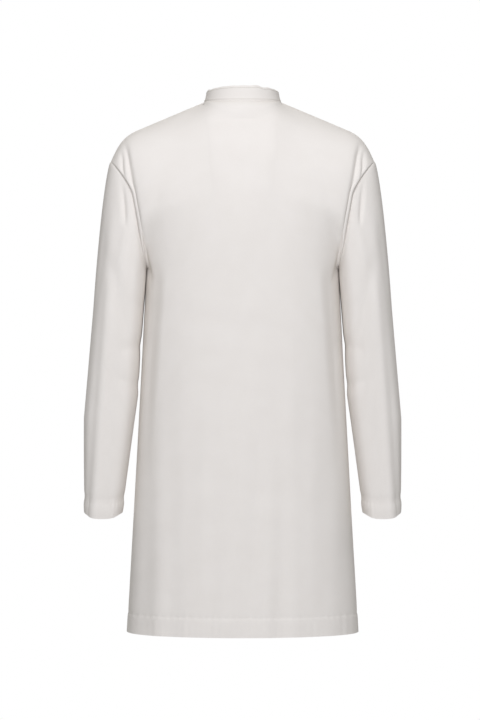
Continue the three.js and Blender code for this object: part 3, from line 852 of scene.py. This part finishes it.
def sleeveBase(phi, h):
    phi, h = np.broadcast_arrays(np.asarray(phi, float), np.asarray(h, float))
    turn = np.mod(phi, 2 * math.pi)
    behind = turn <= math.pi
    s = 1 - np.where(behind, turn, 2 * math.pi - turn) / math.pi
    seamBack = armhole(back, s)
    seamFront = armhole(frontSide, s)
    seam = [np.where(behind, a, b) for a, b in zip(seamBack, seamFront)]
    ring = armTube(turn, np.full_like(turn, arm["biceps"]))
    w = np.clip(h, 0, 1)
    x, y, z = (mix(a, b, w) for a, b in zip(seam, ring))
    full = arm["headFull"] * np.maximum(w, 1e-9) ** 0.45 * (1 - w) * np.cos(turn / 2) ** 2
    x = x + full * np.maximum(0, np.cos(turn)) + 0.0004 * (1 - w) * np.sin(turn / 2) ** 2
    sideways = np.abs(np.sin(turn))
    y = y + np.where(behind, 1.0, -1.0) * sideways * (full + 0.006 * np.maximum(w, 1e-9) ** 0.5 * (1 - w))
    low = armTube(turn, mix(arm["biceps"], arm["cuff"], np.clip(h - 1, 0, 1)))
    below = h > 1
    return [np.where(below, a, b) for a, b in zip(low, (x, y, z))]


def sleeveDrape(x, y, z):
    behind = smooth(y / 0.02)
    creases = 0.6 * valley(x, z, folds["main"]) + valley(x, z, folds["second"])
    stand = creases * smooth(np.abs(y) / 0.02)
    # long creases that hang from the head of the sleeve, and drag lines at the elbow
    long = ripple(x * 75 + z * 5.0, 21) * 0.0015 + ripple(y * 60 - x * 40 - z * 7.0, 23) * 0.0012
    fromDrag = x - mix(0.214, 0.178, (z + 0.235) / -0.17)
    drag = -0.0022 * bell(fromDrag / 0.011) * between(z, -0.43, -0.22, 0.07) * behind
    elbow = -0.0016 * bell((z + 0.40 + 0.25 * (x - 0.20)) / 0.012) * smooth((0.215 - x) / 0.03)
    elbow = elbow - 0.0013 * bell((z + 0.445 - 0.3 * (x - 0.20)) / 0.011) * smooth((0.225 - x) / 0.03)
    return stand + long * smooth((-0.16 - z) / 0.1) + drag + elbow


def sleeveFace(phi, h):
    n = normals(sleeveBase, phi, np.clip(h, 0.02, 1.985))
    base = np.stack(sleeveBase(phi, h), -1)
    middleX = (armOuter(base[..., 2]) + armInner(base[..., 2])) / 2
    away = np.stack([base[..., 0] - middleX, base[..., 1], np.zeros_like(middleX)], -1)
    n = n * np.where((n * away).sum(-1) < 0, -1.0, 1.0)[..., None]
    stand = sleeveDrape(base[..., 0], base[..., 1], base[..., 2]) * smooth(h / folds["sleeveCalm"])
    fromCuff = (2 - h) * (arm["biceps"] - arm["cuff"])
    along = phi * 0.045
    stand = stand + hemWork(along, fromCuff, arm["cuffTurn"] - 0.003, arm["cuffTurn"])
    # nipped in above the cuff's turning, full over it, and sunk into the armhole seam
    nipped = -0.0008 * bell((fromCuff - arm["cuffTurn"] - 0.006) / 0.006)
    nipped = nipped + 0.0005 * bell((fromCuff - 0.011) / 0.009) - 0.0010 * bell(h / 0.010)
    whole = base + n * (stand + nipped)[..., None]
    return whole[..., 0], whole[..., 1], whole[..., 2]


# distances along armAcross, which leans down from the shoulder, and heights at the elbow
armAcross = Vector((0.174, 0, -0.057)).normalized()
armBend = {
    "start": 0.2290, "end": 0.2520, "ring": 0.282,
    "elbowFrom": -0.400, "elbowTo": -0.492, "elbowX": 0.2,
}


def ringShare(phi):
    # where the sleeve's two pieces butt, on a plane that leans with the armhole
    low, high = np.zeros_like(phi), np.full_like(phi, 1.6)
    for _ in range(34):
        middle = (low + high) / 2
        x, _, z = sleeveBase(phi, middle)
        short = x * armAcross.x + z * armAcross.z < armBend["ring"]
        low, high = np.where(short, middle, low), np.where(short, high, middle)
    return (low + high) / 2


def makeSleeve(side):
    around = detail["sleeveAround"]
    phi = 2 * math.pi * np.arange(around) / around
    ring = ringShare(phi)
    upperT = np.linspace(0, 1, 64) ** 1.25
    upperH = mix(0.0004, ring[None, :], upperT[:, None])
    lowerH = mix(ring[None, :], 2.0, np.linspace(0, 1, 170)[:, None])
    for name, shares in (("sleeveHead", upperH), ("sleeveArm", lowerH)):
        phiGrid = np.repeat(phi[None, :], len(shares), 0)
        grid = np.stack(sleeveFace(phiGrid, shares), -1)
        grid = onSide(grid, side)
        piece = plyPiece(name + side.capitalize(), grid, cloth["panel"], coatCloth, ring=True)
        if name == "sleeveHead":
            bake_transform(piece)
            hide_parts("sleeve_upper_" + side)
        else:
            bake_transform(piece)
            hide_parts("sleeve_lower_" + side)


makeSleeve("left")
makeSleeve("right")
print("sleeves set in")

collar = {
    "height": 0.0265, "sideHeight": 0.0185, "frontHeight": 0.0255,
    "lean": 0.0045, "seamGap": 0.0001, "thick": 0.0024, "rollTop": 0.0010,
    "backReach": 91.0,  # degrees round the neck from the centre back
    "columns": 150, "rows": 22,
}


def collarLift(angle, over):
    past = np.where(angle > math.pi, 0.0, cut["neckHalf"] * np.sin(angle))
    share = smooth((past - frontCut["liftFrom"]) / (frontCut["liftTo"] - frontCut["liftFrom"]))
    return np.where(angle < quarter, 0.0, mix(over, 0.0, share))


def collarPoint(angle, b, over):
    x, y, z = neckSeam(angle)
    beside = np.sin(angle) ** 2
    ends = np.where(np.cos(angle) > 0, collar["height"], collar["frontHeight"])
    height = mix(ends, collar["sideHeight"], beside ** 1.3)
    lift = collarLift(angle, over)
    # the stand swells over its seam, leans in, and its folded top edge is round
    lean = -collar["lean"] * b ** 1.2 + 0.0006 * bell((b - 0.12) / 0.10) + 0.0005 * bell((b - 0.80) / 0.2)
    out = lift + lean - collar["rollTop"] * smooth((b - 0.90) / 0.10) ** 2
    wander = 0.0016 * ripple(angle * 4.6, 31) * b ** 2
    z = z + mix(collar["seamGap"] + lift * 0.35, height, b) + wander
    return x + np.sin(angle) * out, y + np.cos(angle) * out, z


def makeCollar(name, low, high, over, side="left"):
    b, angles = np.meshgrid(np.linspace(0, 1, collar["rows"]) ** 0.9,
                            np.linspace(low, high, collar["columns"]), indexing="ij")
    grid = np.stack(collarPoint(angles, b, over), -1)[:, ::-1]
    return plyPiece(name, onSide(grid, side), collar["thick"], coatCloth)


def collarPieces():
    reach = math.radians(collar["backReach"])
    piece = makeCollar("collarBack", -reach, reach, 0.0)
    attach(piece, "torso")
    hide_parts("collar_back_outer", "collar_back_inner")
    pastCentre = math.pi + math.asin(frontCut["overlap"] / cut["neckHalf"])
    for side, over in (("left", frontCut["underLift"]), ("right", frontCut["overLift"])):
        piece = makeCollar("collar" + side.capitalize(), reach + 0.006, pastCentre, over, side)
        bendWithFront(piece, side)
        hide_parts("collar_" + side + "_outer", "collar_" + side + "_inner")


collarPieces()
print("collar sewn on")

pocketCut = {
    "side": {"middle": 0.076, "half": 0.054, "top": -0.470, "bottom": -0.640},
    "chest": {"middle": 0.053, "half": 0.031, "top": -0.200, "bottom": -0.300},
    "corner": 0.012, "stand": 0.0012, "hem": 0.022, "hemStand": 0.0005,
    "gape": 0.0022,  # how far the mouth stands open
    "edge": 0.0022,  # from the pocket's edge to its stitches
}


def offsetGrid(face, u, v, stand):
    # a grid of points that stands off a face
    grid = np.stack(face(u, v), -1)
    n = normals(face, u, v)
    outward = 1.0 if face is backFace else -1.0
    n = n * np.where(n[..., 1:2] * outward < 0, -1.0, 1.0)
    return grid + n * np.asarray(stand)[..., None], n


def pocketShape(cutOut, inset, rows, columns):
    # places on the front, inside a pocket's outline by an inset
    half, top, bottom = cutOut["half"] - inset, cutOut["top"], cutOut["bottom"] + inset
    t = np.linspace(0, 1, rows)
    z = mix(bottom, top, t)
    r = pocketCut["corner"]
    near = np.clip(r - (z - bottom), 0, r)
    narrow = r - np.sqrt(np.maximum(r * r - near * near, 0))
    x = cutOut["middle"] + np.linspace(-1, 1, columns)[None, :] * (half - narrow)[:, None]
    return x, np.repeat(z[:, None], columns, 1)


def pocketStand(cutOut, x, z):
    # how far a pocket's outer face stands off the front
    across = np.abs(x - cutOut["middle"]) / cutOut["half"]
    fromTop = cutOut["top"] - z
    stand = pocketCut["stand"] + pocketCut["hemStand"] * smooth((pocketCut["hem"] - fromTop) / 0.003)
    stand = stand + pocketCut["gape"] * (1 - smooth(across)) * bell(fromTop / 0.05)
    return stand + 0.0004 * (1 - across ** 4) * (1 - ripple(x * 60 + z * 30, 41))


def makePocket(name, cutOut, side, face, node):
    x, z = pocketShape(cutOut, 0.0, 60, 44)
    u, v = placeAt(frontSide, x, z)
    grid, _ = offsetGrid(face, u, v, pocketStand(cutOut, x, z))
    piece = plyPiece(name, onSide(grid, side), cloth["turned"], coatCloth)
    bendWithFront(piece, side)
    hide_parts(node)


makePocket("pocketLeft", pocketCut["side"], "left", leftFace, "patch_pocket_left")
makePocket("pocketRight", pocketCut["side"], "right", rightFace, "patch_pocket_right")
makePocket("pocketChest", pocketCut["chest"], "left", leftFace, "chest_pocket")
print("pockets on")

studCut = {
    "drops": [0.088, 0.208, 0.328, 0.448, 0.568],
    "sides": 48,
    "clear": 0.0002,  # between each half and its cloth
}


def speckled(name, scale, dark, pale):
    # a material whose colour wanders a little, with its shader, node tree and noise
    material = bpy.data.materials.new(name)
    material.use_nodes = True
    tree = material.node_tree
    shader = tree.nodes["Principled BSDF"]
    noise = tree.nodes.new("ShaderNodeTexNoise")
    noise.inputs["Scale"].default_value = scale
    where = tree.nodes.new("ShaderNodeTexCoord")
    tree.links.new(where.outputs["Object"], noise.inputs["Vector"])
    tone = tree.nodes.new("ShaderNodeMix")
    tone.data_type = "RGBA"
    tone.inputs["A"].default_value = dark
    tone.inputs["B"].default_value = pale
    tree.links.new(noise.outputs["Fac"], tone.inputs["Factor"])
    tree.links.new(tone.outputs["Result"], shader.inputs["Base Color"])
    return material, shader, tree, noise


def makeStudMaterial():
    material, shader, tree, noise = speckled("pearlStud", 260.0, (0.78, 0.76, 0.72, 1),
                                             (0.86, 0.85, 0.81, 1))
    ramp = tree.nodes.new("ShaderNodeMapRange")
    ramp.inputs["To Min"].default_value = 0.24
    ramp.inputs["To Max"].default_value = 0.40
    tree.links.new(noise.outputs["Fac"], ramp.inputs["Value"])
    tree.links.new(ramp.outputs["Result"], shader.inputs["Roughness"])
    shader.inputs["Coat Weight"].default_value = 0.25
    return material


studMaterial = makeStudMaterial()


def lathe(name, profile, place, outward, material):
    # turns a profile of radius and height about an axis; both ends lie on the axis
    sides = studCut["sides"]
    axis = Vector(outward).normalized()
    across = axis.orthogonal().normalized()
    other = axis.cross(across)
    points = [Vector(place) + axis * profile[0][1]]
    for radius, height in profile[1:-1]:
        for k in range(sides):
            turn = 2 * math.pi * k / sides
            spoke = across * math.cos(turn) + other * math.sin(turn)
            points.append(Vector(place) + axis * height + spoke * radius)
    points.append(Vector(place) + axis * profile[-1][1])
    rings = len(profile) - 2
    faces = []
    for k in range(sides):
        n = (k + 1) % sides
        faces.append((0, 1 + n, 1 + k))
        for r in range(rings - 1):
            a = 1 + r * sides
            faces.append((a + k, a + n, a + sides + n, a + sides + k))
        last = 1 + (rings - 1) * sides
        faces.append((last + k, last + n, len(points) - 1))
    return linkMesh(name, points, faces, material)


# each profile runs from one end of the axis to the other, as radius and height
studProfiles = {
    "cap": [
        (0, -0.0042), (0.0015, -0.0042), (0.0015, -0.0001), (0.0054, -0.0001), (0.0060, 0.0002),
        (0.0060, 0.0006), (0.0055, 0.0010), (0.0046, 0.0012), (0.0040, 0.0009), (0.0030, 0.0008),
        (0.0014, 0.0010), (0, 0.00105)],
    "socket": [
        (0, 0.0), (0.0048, 0.0), (0.0053, -0.0003), (0.0053, -0.0008), (0.0048, -0.0011),
        (0.0030, -0.0012), (0.0024, -0.0011), (0.0022, -0.0005), (0, -0.0005)],
    "stud": [
        (0, 0.0), (0.0046, 0.0), (0.0050, 0.0002), (0.0050, 0.0005), (0.0045, 0.0007),
        (0.0016, 0.0007), (0.0018, 0.0012), (0.0018, 0.0016), (0.0013, 0.0019), (0, 0.0019)],
    "post": [
        (0, -0.0009), (0.0044, -0.0009), (0.0050, -0.0006), (0.0050, -0.0002), (0.0046, 0.0),
        (0.0015, 0.0), (0.0015, 0.0026), (0, 0.0026)],
}


def facePoints(face, drops):
    # places down the centre front, each with its outward direction
    z = -np.array(drops)[None, :]
    u = np.zeros_like(z)
    v = shareAtZ(frontSide, u, z)
    grid, n = offsetGrid(face, u, v, np.zeros_like(u))
    n = n[0] * np.array([0, 1, 1])
    return grid[0], n / np.linalg.norm(n, axis=1, keepdims=True)


def makeStuds():
    facingBack = cloth["panel"] + cloth["plyGap"] + cloth["facing"]
    outside, inside = studCut["clear"], -facingBack - studCut["clear"]
    stack = (("cap", outside, "right"), ("socket", inside, "right"),
             ("stud", outside, "left"), ("post", inside, "left"))
    faces = {"left": leftFace, "right": rightFace}
    spots = {side: facePoints(face, studCut["drops"]) for side, face in faces.items()}
    for i in range(len(studCut["drops"])):
        number = str(i + 1)
        for kind, stand, side in stack:
            outward = spots[side][1][i]
            place = spots[side][0][i] + outward * stand
            name = "snap" + kind.capitalize() + number
            piece = lathe(name, studProfiles[kind], place, outward, studMaterial)
            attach(piece, "front_" + side)
            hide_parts("snap_" + kind + "_" + number)


makeStuds()
print("press studs set")

trimCut = {
    "tapeHalf": 0.054, "tapeTop": 0.0035, "tapeDrop": 0.0115, "tapeThick": 0.0007, "tapeIn": 0.0006,
    "labelHalf": 0.0195, "labelTop": 0.0175, "labelBottom": 0.0475,
    "labelThick": 0.0004, "labelIn": 0.0008,
    "loopHalf": 0.0165, "loopDrop": 0.040, "loopStrap": 0.0058, "loopThick": 0.0012,
}


def backInside(x, drop, stand):
    # a place inside the back panel, some way below its neck seam
    x = np.asarray(x, float)
    u = np.arcsin(x / cut["shoulderHalf"]) / quarter
    v = 2 + np.asarray(drop, float) / cut["underarm"]
    u, v = np.broadcast_arrays(u, v)
    return offsetGrid(backFace, u, v, -(cloth["panel"] + stand) * np.ones_like(u))


def makeTrims():
    x = np.linspace(-trimCut["tapeHalf"], trimCut["tapeHalf"], 90)[None, :]
    drop = np.linspace(trimCut["tapeDrop"], trimCut["tapeTop"], 10)[:, None]
    grid, _ = backInside(x, drop, trimCut["tapeIn"])
    piece = plyPiece("neckTape", grid, trimCut["tapeThick"], tapeCloth)
    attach(piece, "torso")
    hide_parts("back_neck_tape")
    x = np.linspace(-trimCut["labelHalf"], trimCut["labelHalf"], 40)[None, :]
    drop = np.linspace(trimCut["labelBottom"], trimCut["labelTop"], 34)[:, None]
    # the label's free lower edge stands away from the cloth
    loose = trimCut["labelIn"] + 0.0006 * bell((drop - trimCut["labelBottom"]) / 0.012)
    grid, _ = backInside(x, drop, loose)
    piece = plyPiece("sizeLabel", grid, trimCut["labelThick"], labelCloth)
    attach(piece, "torso")
    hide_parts("size_label")


makeTrims()


def makeLoop():
    # a narrow folded strap, bent into a U that hangs from the neck seam
    low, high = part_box("hanger_loop")
    middleY, top = float(low[1] + high[1]) / 2, float(high[2])
    half = trimCut["loopHalf"] - trimCut["loopStrap"] / 2
    straight = trimCut["loopDrop"] - trimCut["loopHalf"]
    down = [(-half, -t) for t in np.linspace(0, straight, 14, endpoint=False)]
    bend = [(-half * math.cos(a), -straight - half * math.sin(a)) for a in np.linspace(0, math.pi, 28)]
    path = np.array(down + bend + [(half, z) for _, z in down[::-1]])
    along = np.gradient(path, axis=0)
    along /= np.linalg.norm(along, axis=1, keepdims=True)
    side = np.stack([along[:, 1], -along[:, 0]], -1)
    section = 12
    rows = []
    for k in range(section):
        turn = 2 * math.pi * k / section
        wide = trimCut["loopStrap"] / 2 * np.sign(math.cos(turn)) * abs(math.cos(turn)) ** 0.35
        deep = trimCut["loopThick"] / 2 * np.sign(math.sin(turn)) * abs(math.sin(turn)) ** 0.7
        sway = 0.0008 * np.sin(np.linspace(0, math.pi, len(path)))
        place = path + side * wide
        depth = np.full(len(path), middleY + deep) + sway
        rows.append(np.stack([place[:, 0], depth, place[:, 1] + top], -1))
    grid = np.stack(rows, 1)
    count = len(path)
    faces = gridFaces(count, section, True).tolist()
    faces += [tuple(range(section))[::-1], tuple((count - 1) * section + k for k in range(section))]
    points = grid.reshape(-1, 3)
    piece = linkMesh("hangerLoop", points, faces, tapeCloth)
    length = np.repeat(np.linspace(0, 0.11, count), section)
    girth = np.tile(np.arange(section) * 0.0012, count)
    layWeave(piece.data, np.stack([girth, length], -1))
    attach(piece, "loop")
    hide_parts("hanger_loop")


makeLoop()
print("neck trims in")

stitchCut = {
    "pitch": 0.0031, "long": 0.0023, "wide": 0.00026, "proud": 0.00020,
    "hemRows": (0.0275, 0.0340),  # heights above the hem
    "cuffRows": (0.0068, 0.0150),
    "collarRows": (0.16, 0.86),  # shares of the collar's height
    "fromEdge": 0.003,
    "fromFacing": 0.006,
    "endShare": 0.997,  # rows stop this far across a panel
    "armholeShare": 0.984,
    "sink": 0.0001,
}


def makeThreadShadeMaterial():
    # thread and painted shade: the stitches are coloured far darker than the cloth, so each row reads as
    # the shaded line of a seam
    material, shader, _, _ = speckled("sewingThreadShade", 900.0, (0.42, 0.39, 0.33, 1),
                                      (0.56, 0.53, 0.46, 1))
    shader.inputs["Roughness"].default_value = 0.6
    shader.inputs["Sheen Weight"].default_value = 0.2
    return material


threadShadeMaterial = makeThreadShadeMaterial()


def stitchRow(name, path, outward):
    # one row of lock stitches along a path, each dipping into the cloth at its ends
    run = np.concatenate([[0], np.cumsum(np.linalg.norm(np.diff(path, axis=0), axis=1))])
    count = max(2, int(run[-1] / stitchCut["pitch"]))
    starts = (np.arange(count) + 0.5) * run[-1] / count
    ends = np.array([-0.5, -0.36, 0.0, 0.36, 0.5])
    size = np.array([0.30, 0.85, 1.0, 0.85, 0.30])
    dip = np.array([-0.00040, -0.00008, 0.00008, -0.00008, -0.00040])
    at = starts[:, None] + ends[None, :] * stitchCut["long"]
    place = np.stack([np.interp(at, run, path[:, k]) for k in range(3)], -1)
    out = np.stack([np.interp(at, run, outward[:, k]) for k in range(3)], -1)
    out /= np.linalg.norm(out, axis=-1, keepdims=True)
    along = place[:, 4:5] - place[:, 0:1]
    along = along / np.linalg.norm(along, axis=-1, keepdims=True)
    side = np.cross(out, np.repeat(along, 5, 1))
    place = place + out * (stitchCut["proud"] + dip[None, :, None] - 0.0001)
    turns = np.arange(6) * math.pi / 3
    ring = (side[:, :, None, :] * np.cos(turns)[None, None, :, None]
            + out[:, :, None, :] * np.sin(turns)[None, None, :, None])
    points = place[:, :, None, :] + ring * (stitchCut["wide"] * size)[None, :, None, None]
    one = gridFaces(5, 6, True).tolist() + [(5, 4, 3, 2, 1, 0), (24, 25, 26, 27, 28, 29)]
    faces = [tuple(i + 30 * k for i in f) for k in range(count) for f in one]
    return linkMesh(name, points.reshape(-1, 3), faces, threadShadeMaterial)


def joinPieces(name, pieces):
    first = pieces[0]
    with bpy.context.temp_override(active_object=first, object=first,
                                   selected_editable_objects=pieces, selected_objects=pieces):
        bpy.ops.object.join()
    first.name = name
    first.data.name = name
    return first


def rowOn(face, u, v, stand=0.0):
    lifted = np.full((1, len(u)), stand) + stitchCut["sink"]
    points, n = offsetGrid(face, u[None, :], v[None, :], lifted)
    return points[0], n[0]


def flipped(row):
    return row[0] * np.array([-1, 1, 1]), row[1] * np.array([-1, 1, 1])


def sewRow(name, row, side="left"):
    return stitchRow(name, *(row if side == "left" else flipped(row)))


def finishRows(name, made, side=None):
    # the joined rows go with the back, or have their transform baked like their front
    piece = joinPieces(name, made)
    if side:
        bendWithFront(piece, side)
    else:
        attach(piece, "torso")


def sewHems():
    rows = stitchCut["hemRows"]
    height = cut["underarm"] - cut["hem"]
    reach = stitchCut["endShare"]
    made = []
    for k, up in enumerate(rows):
        u = np.linspace(-reach, reach, 400)
        made.append(sewRow("hemRow" + str(k), rowOn(backFace, u, np.full_like(u, up / height))))
    finishRows("hemStitchBack", made)
    atEdge = stitchCut["fromEdge"] - frontCut["overlap"]
    besideFacing = frontCut["facing"] - stitchCut["fromFacing"]
    for side, face in (("left", leftFace), ("right", rightFace)):
        made = []
        for k, up in enumerate(rows):
            v = np.full(200, up / height)
            u = np.linspace(shareAtX(frontSide, v[:1], atEdge)[0], reach, 200)
            made.append(sewRow("hemRow" + str(k), rowOn(face, u, v), side))
        # a row down the front edge and one beside the facing
        v = np.linspace(0.06, 1.97, 300)
        for k, x in enumerate((atEdge, besideFacing)):
            row = rowOn(face, shareAtX(frontSide, v, x), v)
            made.append(sewRow("edgeRow" + str(k), row, side))
        finishRows("frontStitch" + side.capitalize(), made, side)


def sewPocket(name, cutOut, side, face):
    # round the pocket's edge, and across under its hem
    x, z = pocketShape(cutOut, pocketCut["edge"], 60, 21)
    down = np.stack([x[::-1, 0], z[::-1, 0]], -1)
    along = np.stack([x[0, 1:-1], z[0, 1:-1]], -1)
    up = np.stack([x[:, -1], z[:, -1]], -1)
    hemX = np.linspace(-1, 1, 40) * (cutOut["half"] - pocketCut["edge"]) + cutOut["middle"]
    hemZ = np.full(40, cutOut["top"] - pocketCut["hem"] + 0.002)
    made = []
    for k, line in enumerate((np.concatenate([down, along, up]), np.stack([hemX, hemZ], -1))):
        u, v = placeAt(frontSide, line[None, :, 0], line[None, :, 1])
        row = rowOn(face, u[0], v[0], pocketStand(cutOut, line[:, 0], line[:, 1])[None, :])
        made.append(sewRow("pocketRow" + str(k), row, side))
    finishRows(name, made, side)


def sewPockets():
    sewPocket("pocketStitchLeft", pocketCut["side"], "left", leftFace)
    sewPocket("pocketStitchRight", pocketCut["side"], "right", rightFace)
    sewPocket("pocketStitchChest", pocketCut["chest"], "left", leftFace)


def sewCuffs():
    for side in ("left", "right"):
        made = []
        for k, up in enumerate(stitchCut["cuffRows"]):
            phi = np.linspace(0, 2 * math.pi, 260)[None, :]
            h = np.full_like(phi, 2 - up / (arm["biceps"] - arm["cuff"]))
            points = np.stack(sleeveFace(phi, h), -1)
            n = normals(sleeveFace, phi, h)
            middle = points.mean(1, keepdims=True)
            n = n * np.where((n * (points - middle)).sum(-1) < 0, -1.0, 1.0)[..., None]
            made.append(sewRow("cuffRow" + str(k), (points[0] + n[0] * stitchCut["sink"], n[0]), side))
        piece = joinPieces("cuffStitch" + side.capitalize(), made)
        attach(piece, "lower_sleeve_" + side)


def sewArmholes():
    # beside the seam, from halfway up the armhole to the shoulder tip
    made = []
    v = np.linspace(1.50, 1.985, 120)
    for k, face in enumerate((backFace, leftFace)):
        row = rowOn(face, np.full_like(v, stitchCut["armholeShare"]), v)
        made.append(sewRow("armRow" + str(k), row))
        made.append(sewRow("armRowOther" + str(k), row, "right"))
    finishRows("armholeStitch", made)


def sewCollar():
    reach = math.radians(collar["backReach"]) - 0.02
    start, end = reach + 0.05, math.pi + 0.16
    jobs = (("collarStitchBack", -reach, reach, 0.0, None),
            ("collarStitchLeft", start, end, frontCut["underLift"], "left"),
            ("collarStitchRight", start, end, frontCut["overLift"], "right"))
    for name, low, high, over, side in jobs:
        angle = np.linspace(low, high, 160)
        made = []
        for k, b in enumerate(stitchCut["collarRows"]):
            points = np.stack(collarPoint(angle, np.full_like(angle, b), over), -1)
            n = np.stack([np.sin(angle), np.cos(angle), 0.15 + 0 * angle], -1)
            row = (points + n * stitchCut["sink"], n)
            made.append(sewRow("collarRow" + str(k), row, side or "left"))
        finishRows(name, made, side)


turning = {
    "columns": 150, "rows": 8,
    "low": 0.0012, "gap": 0.0002, "endShare": 0.985, "pastFacing": 0.001,
}


def turnHem(name, face, start, side=None):
    # a turning, folded up inside the coat
    height = cut["underarm"] - cut["hem"]
    vs = np.linspace(turning["low"], folds["hemTurn"], turning["rows"]) / height
    if start is None:
        # the fronts' turnings stop at the facing
        start = shareAtX(frontSide, vs[:1], frontCut["facing"] + turning["pastFacing"])[0]
    v, u = np.meshgrid(vs, np.linspace(start, turning["endShare"], turning["columns"]), indexing="ij")
    grid, _ = offsetGrid(face, u, v, np.full_like(u, -cloth["panel"] - turning["gap"]))
    if side:
        grid = onSide(grid, side)[:, ::-1]
    piece = plyPiece(name, grid, cloth["turned"], coatCloth)
    if side:
        bendWithFront(piece, side)
    else:
        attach(piece, "torso")


def turnHems():
    turnHem("hemTurningBack", backFace, -turning["endShare"])
    turnHem("hemTurningLeft", leftFace, None, "left")
    turnHem("hemTurningRight", rightFace, None, "right")


turnHems()
sewHems()
sewPockets()
sewCuffs()
sewArmholes()
sewCollar()
print("stitching done")
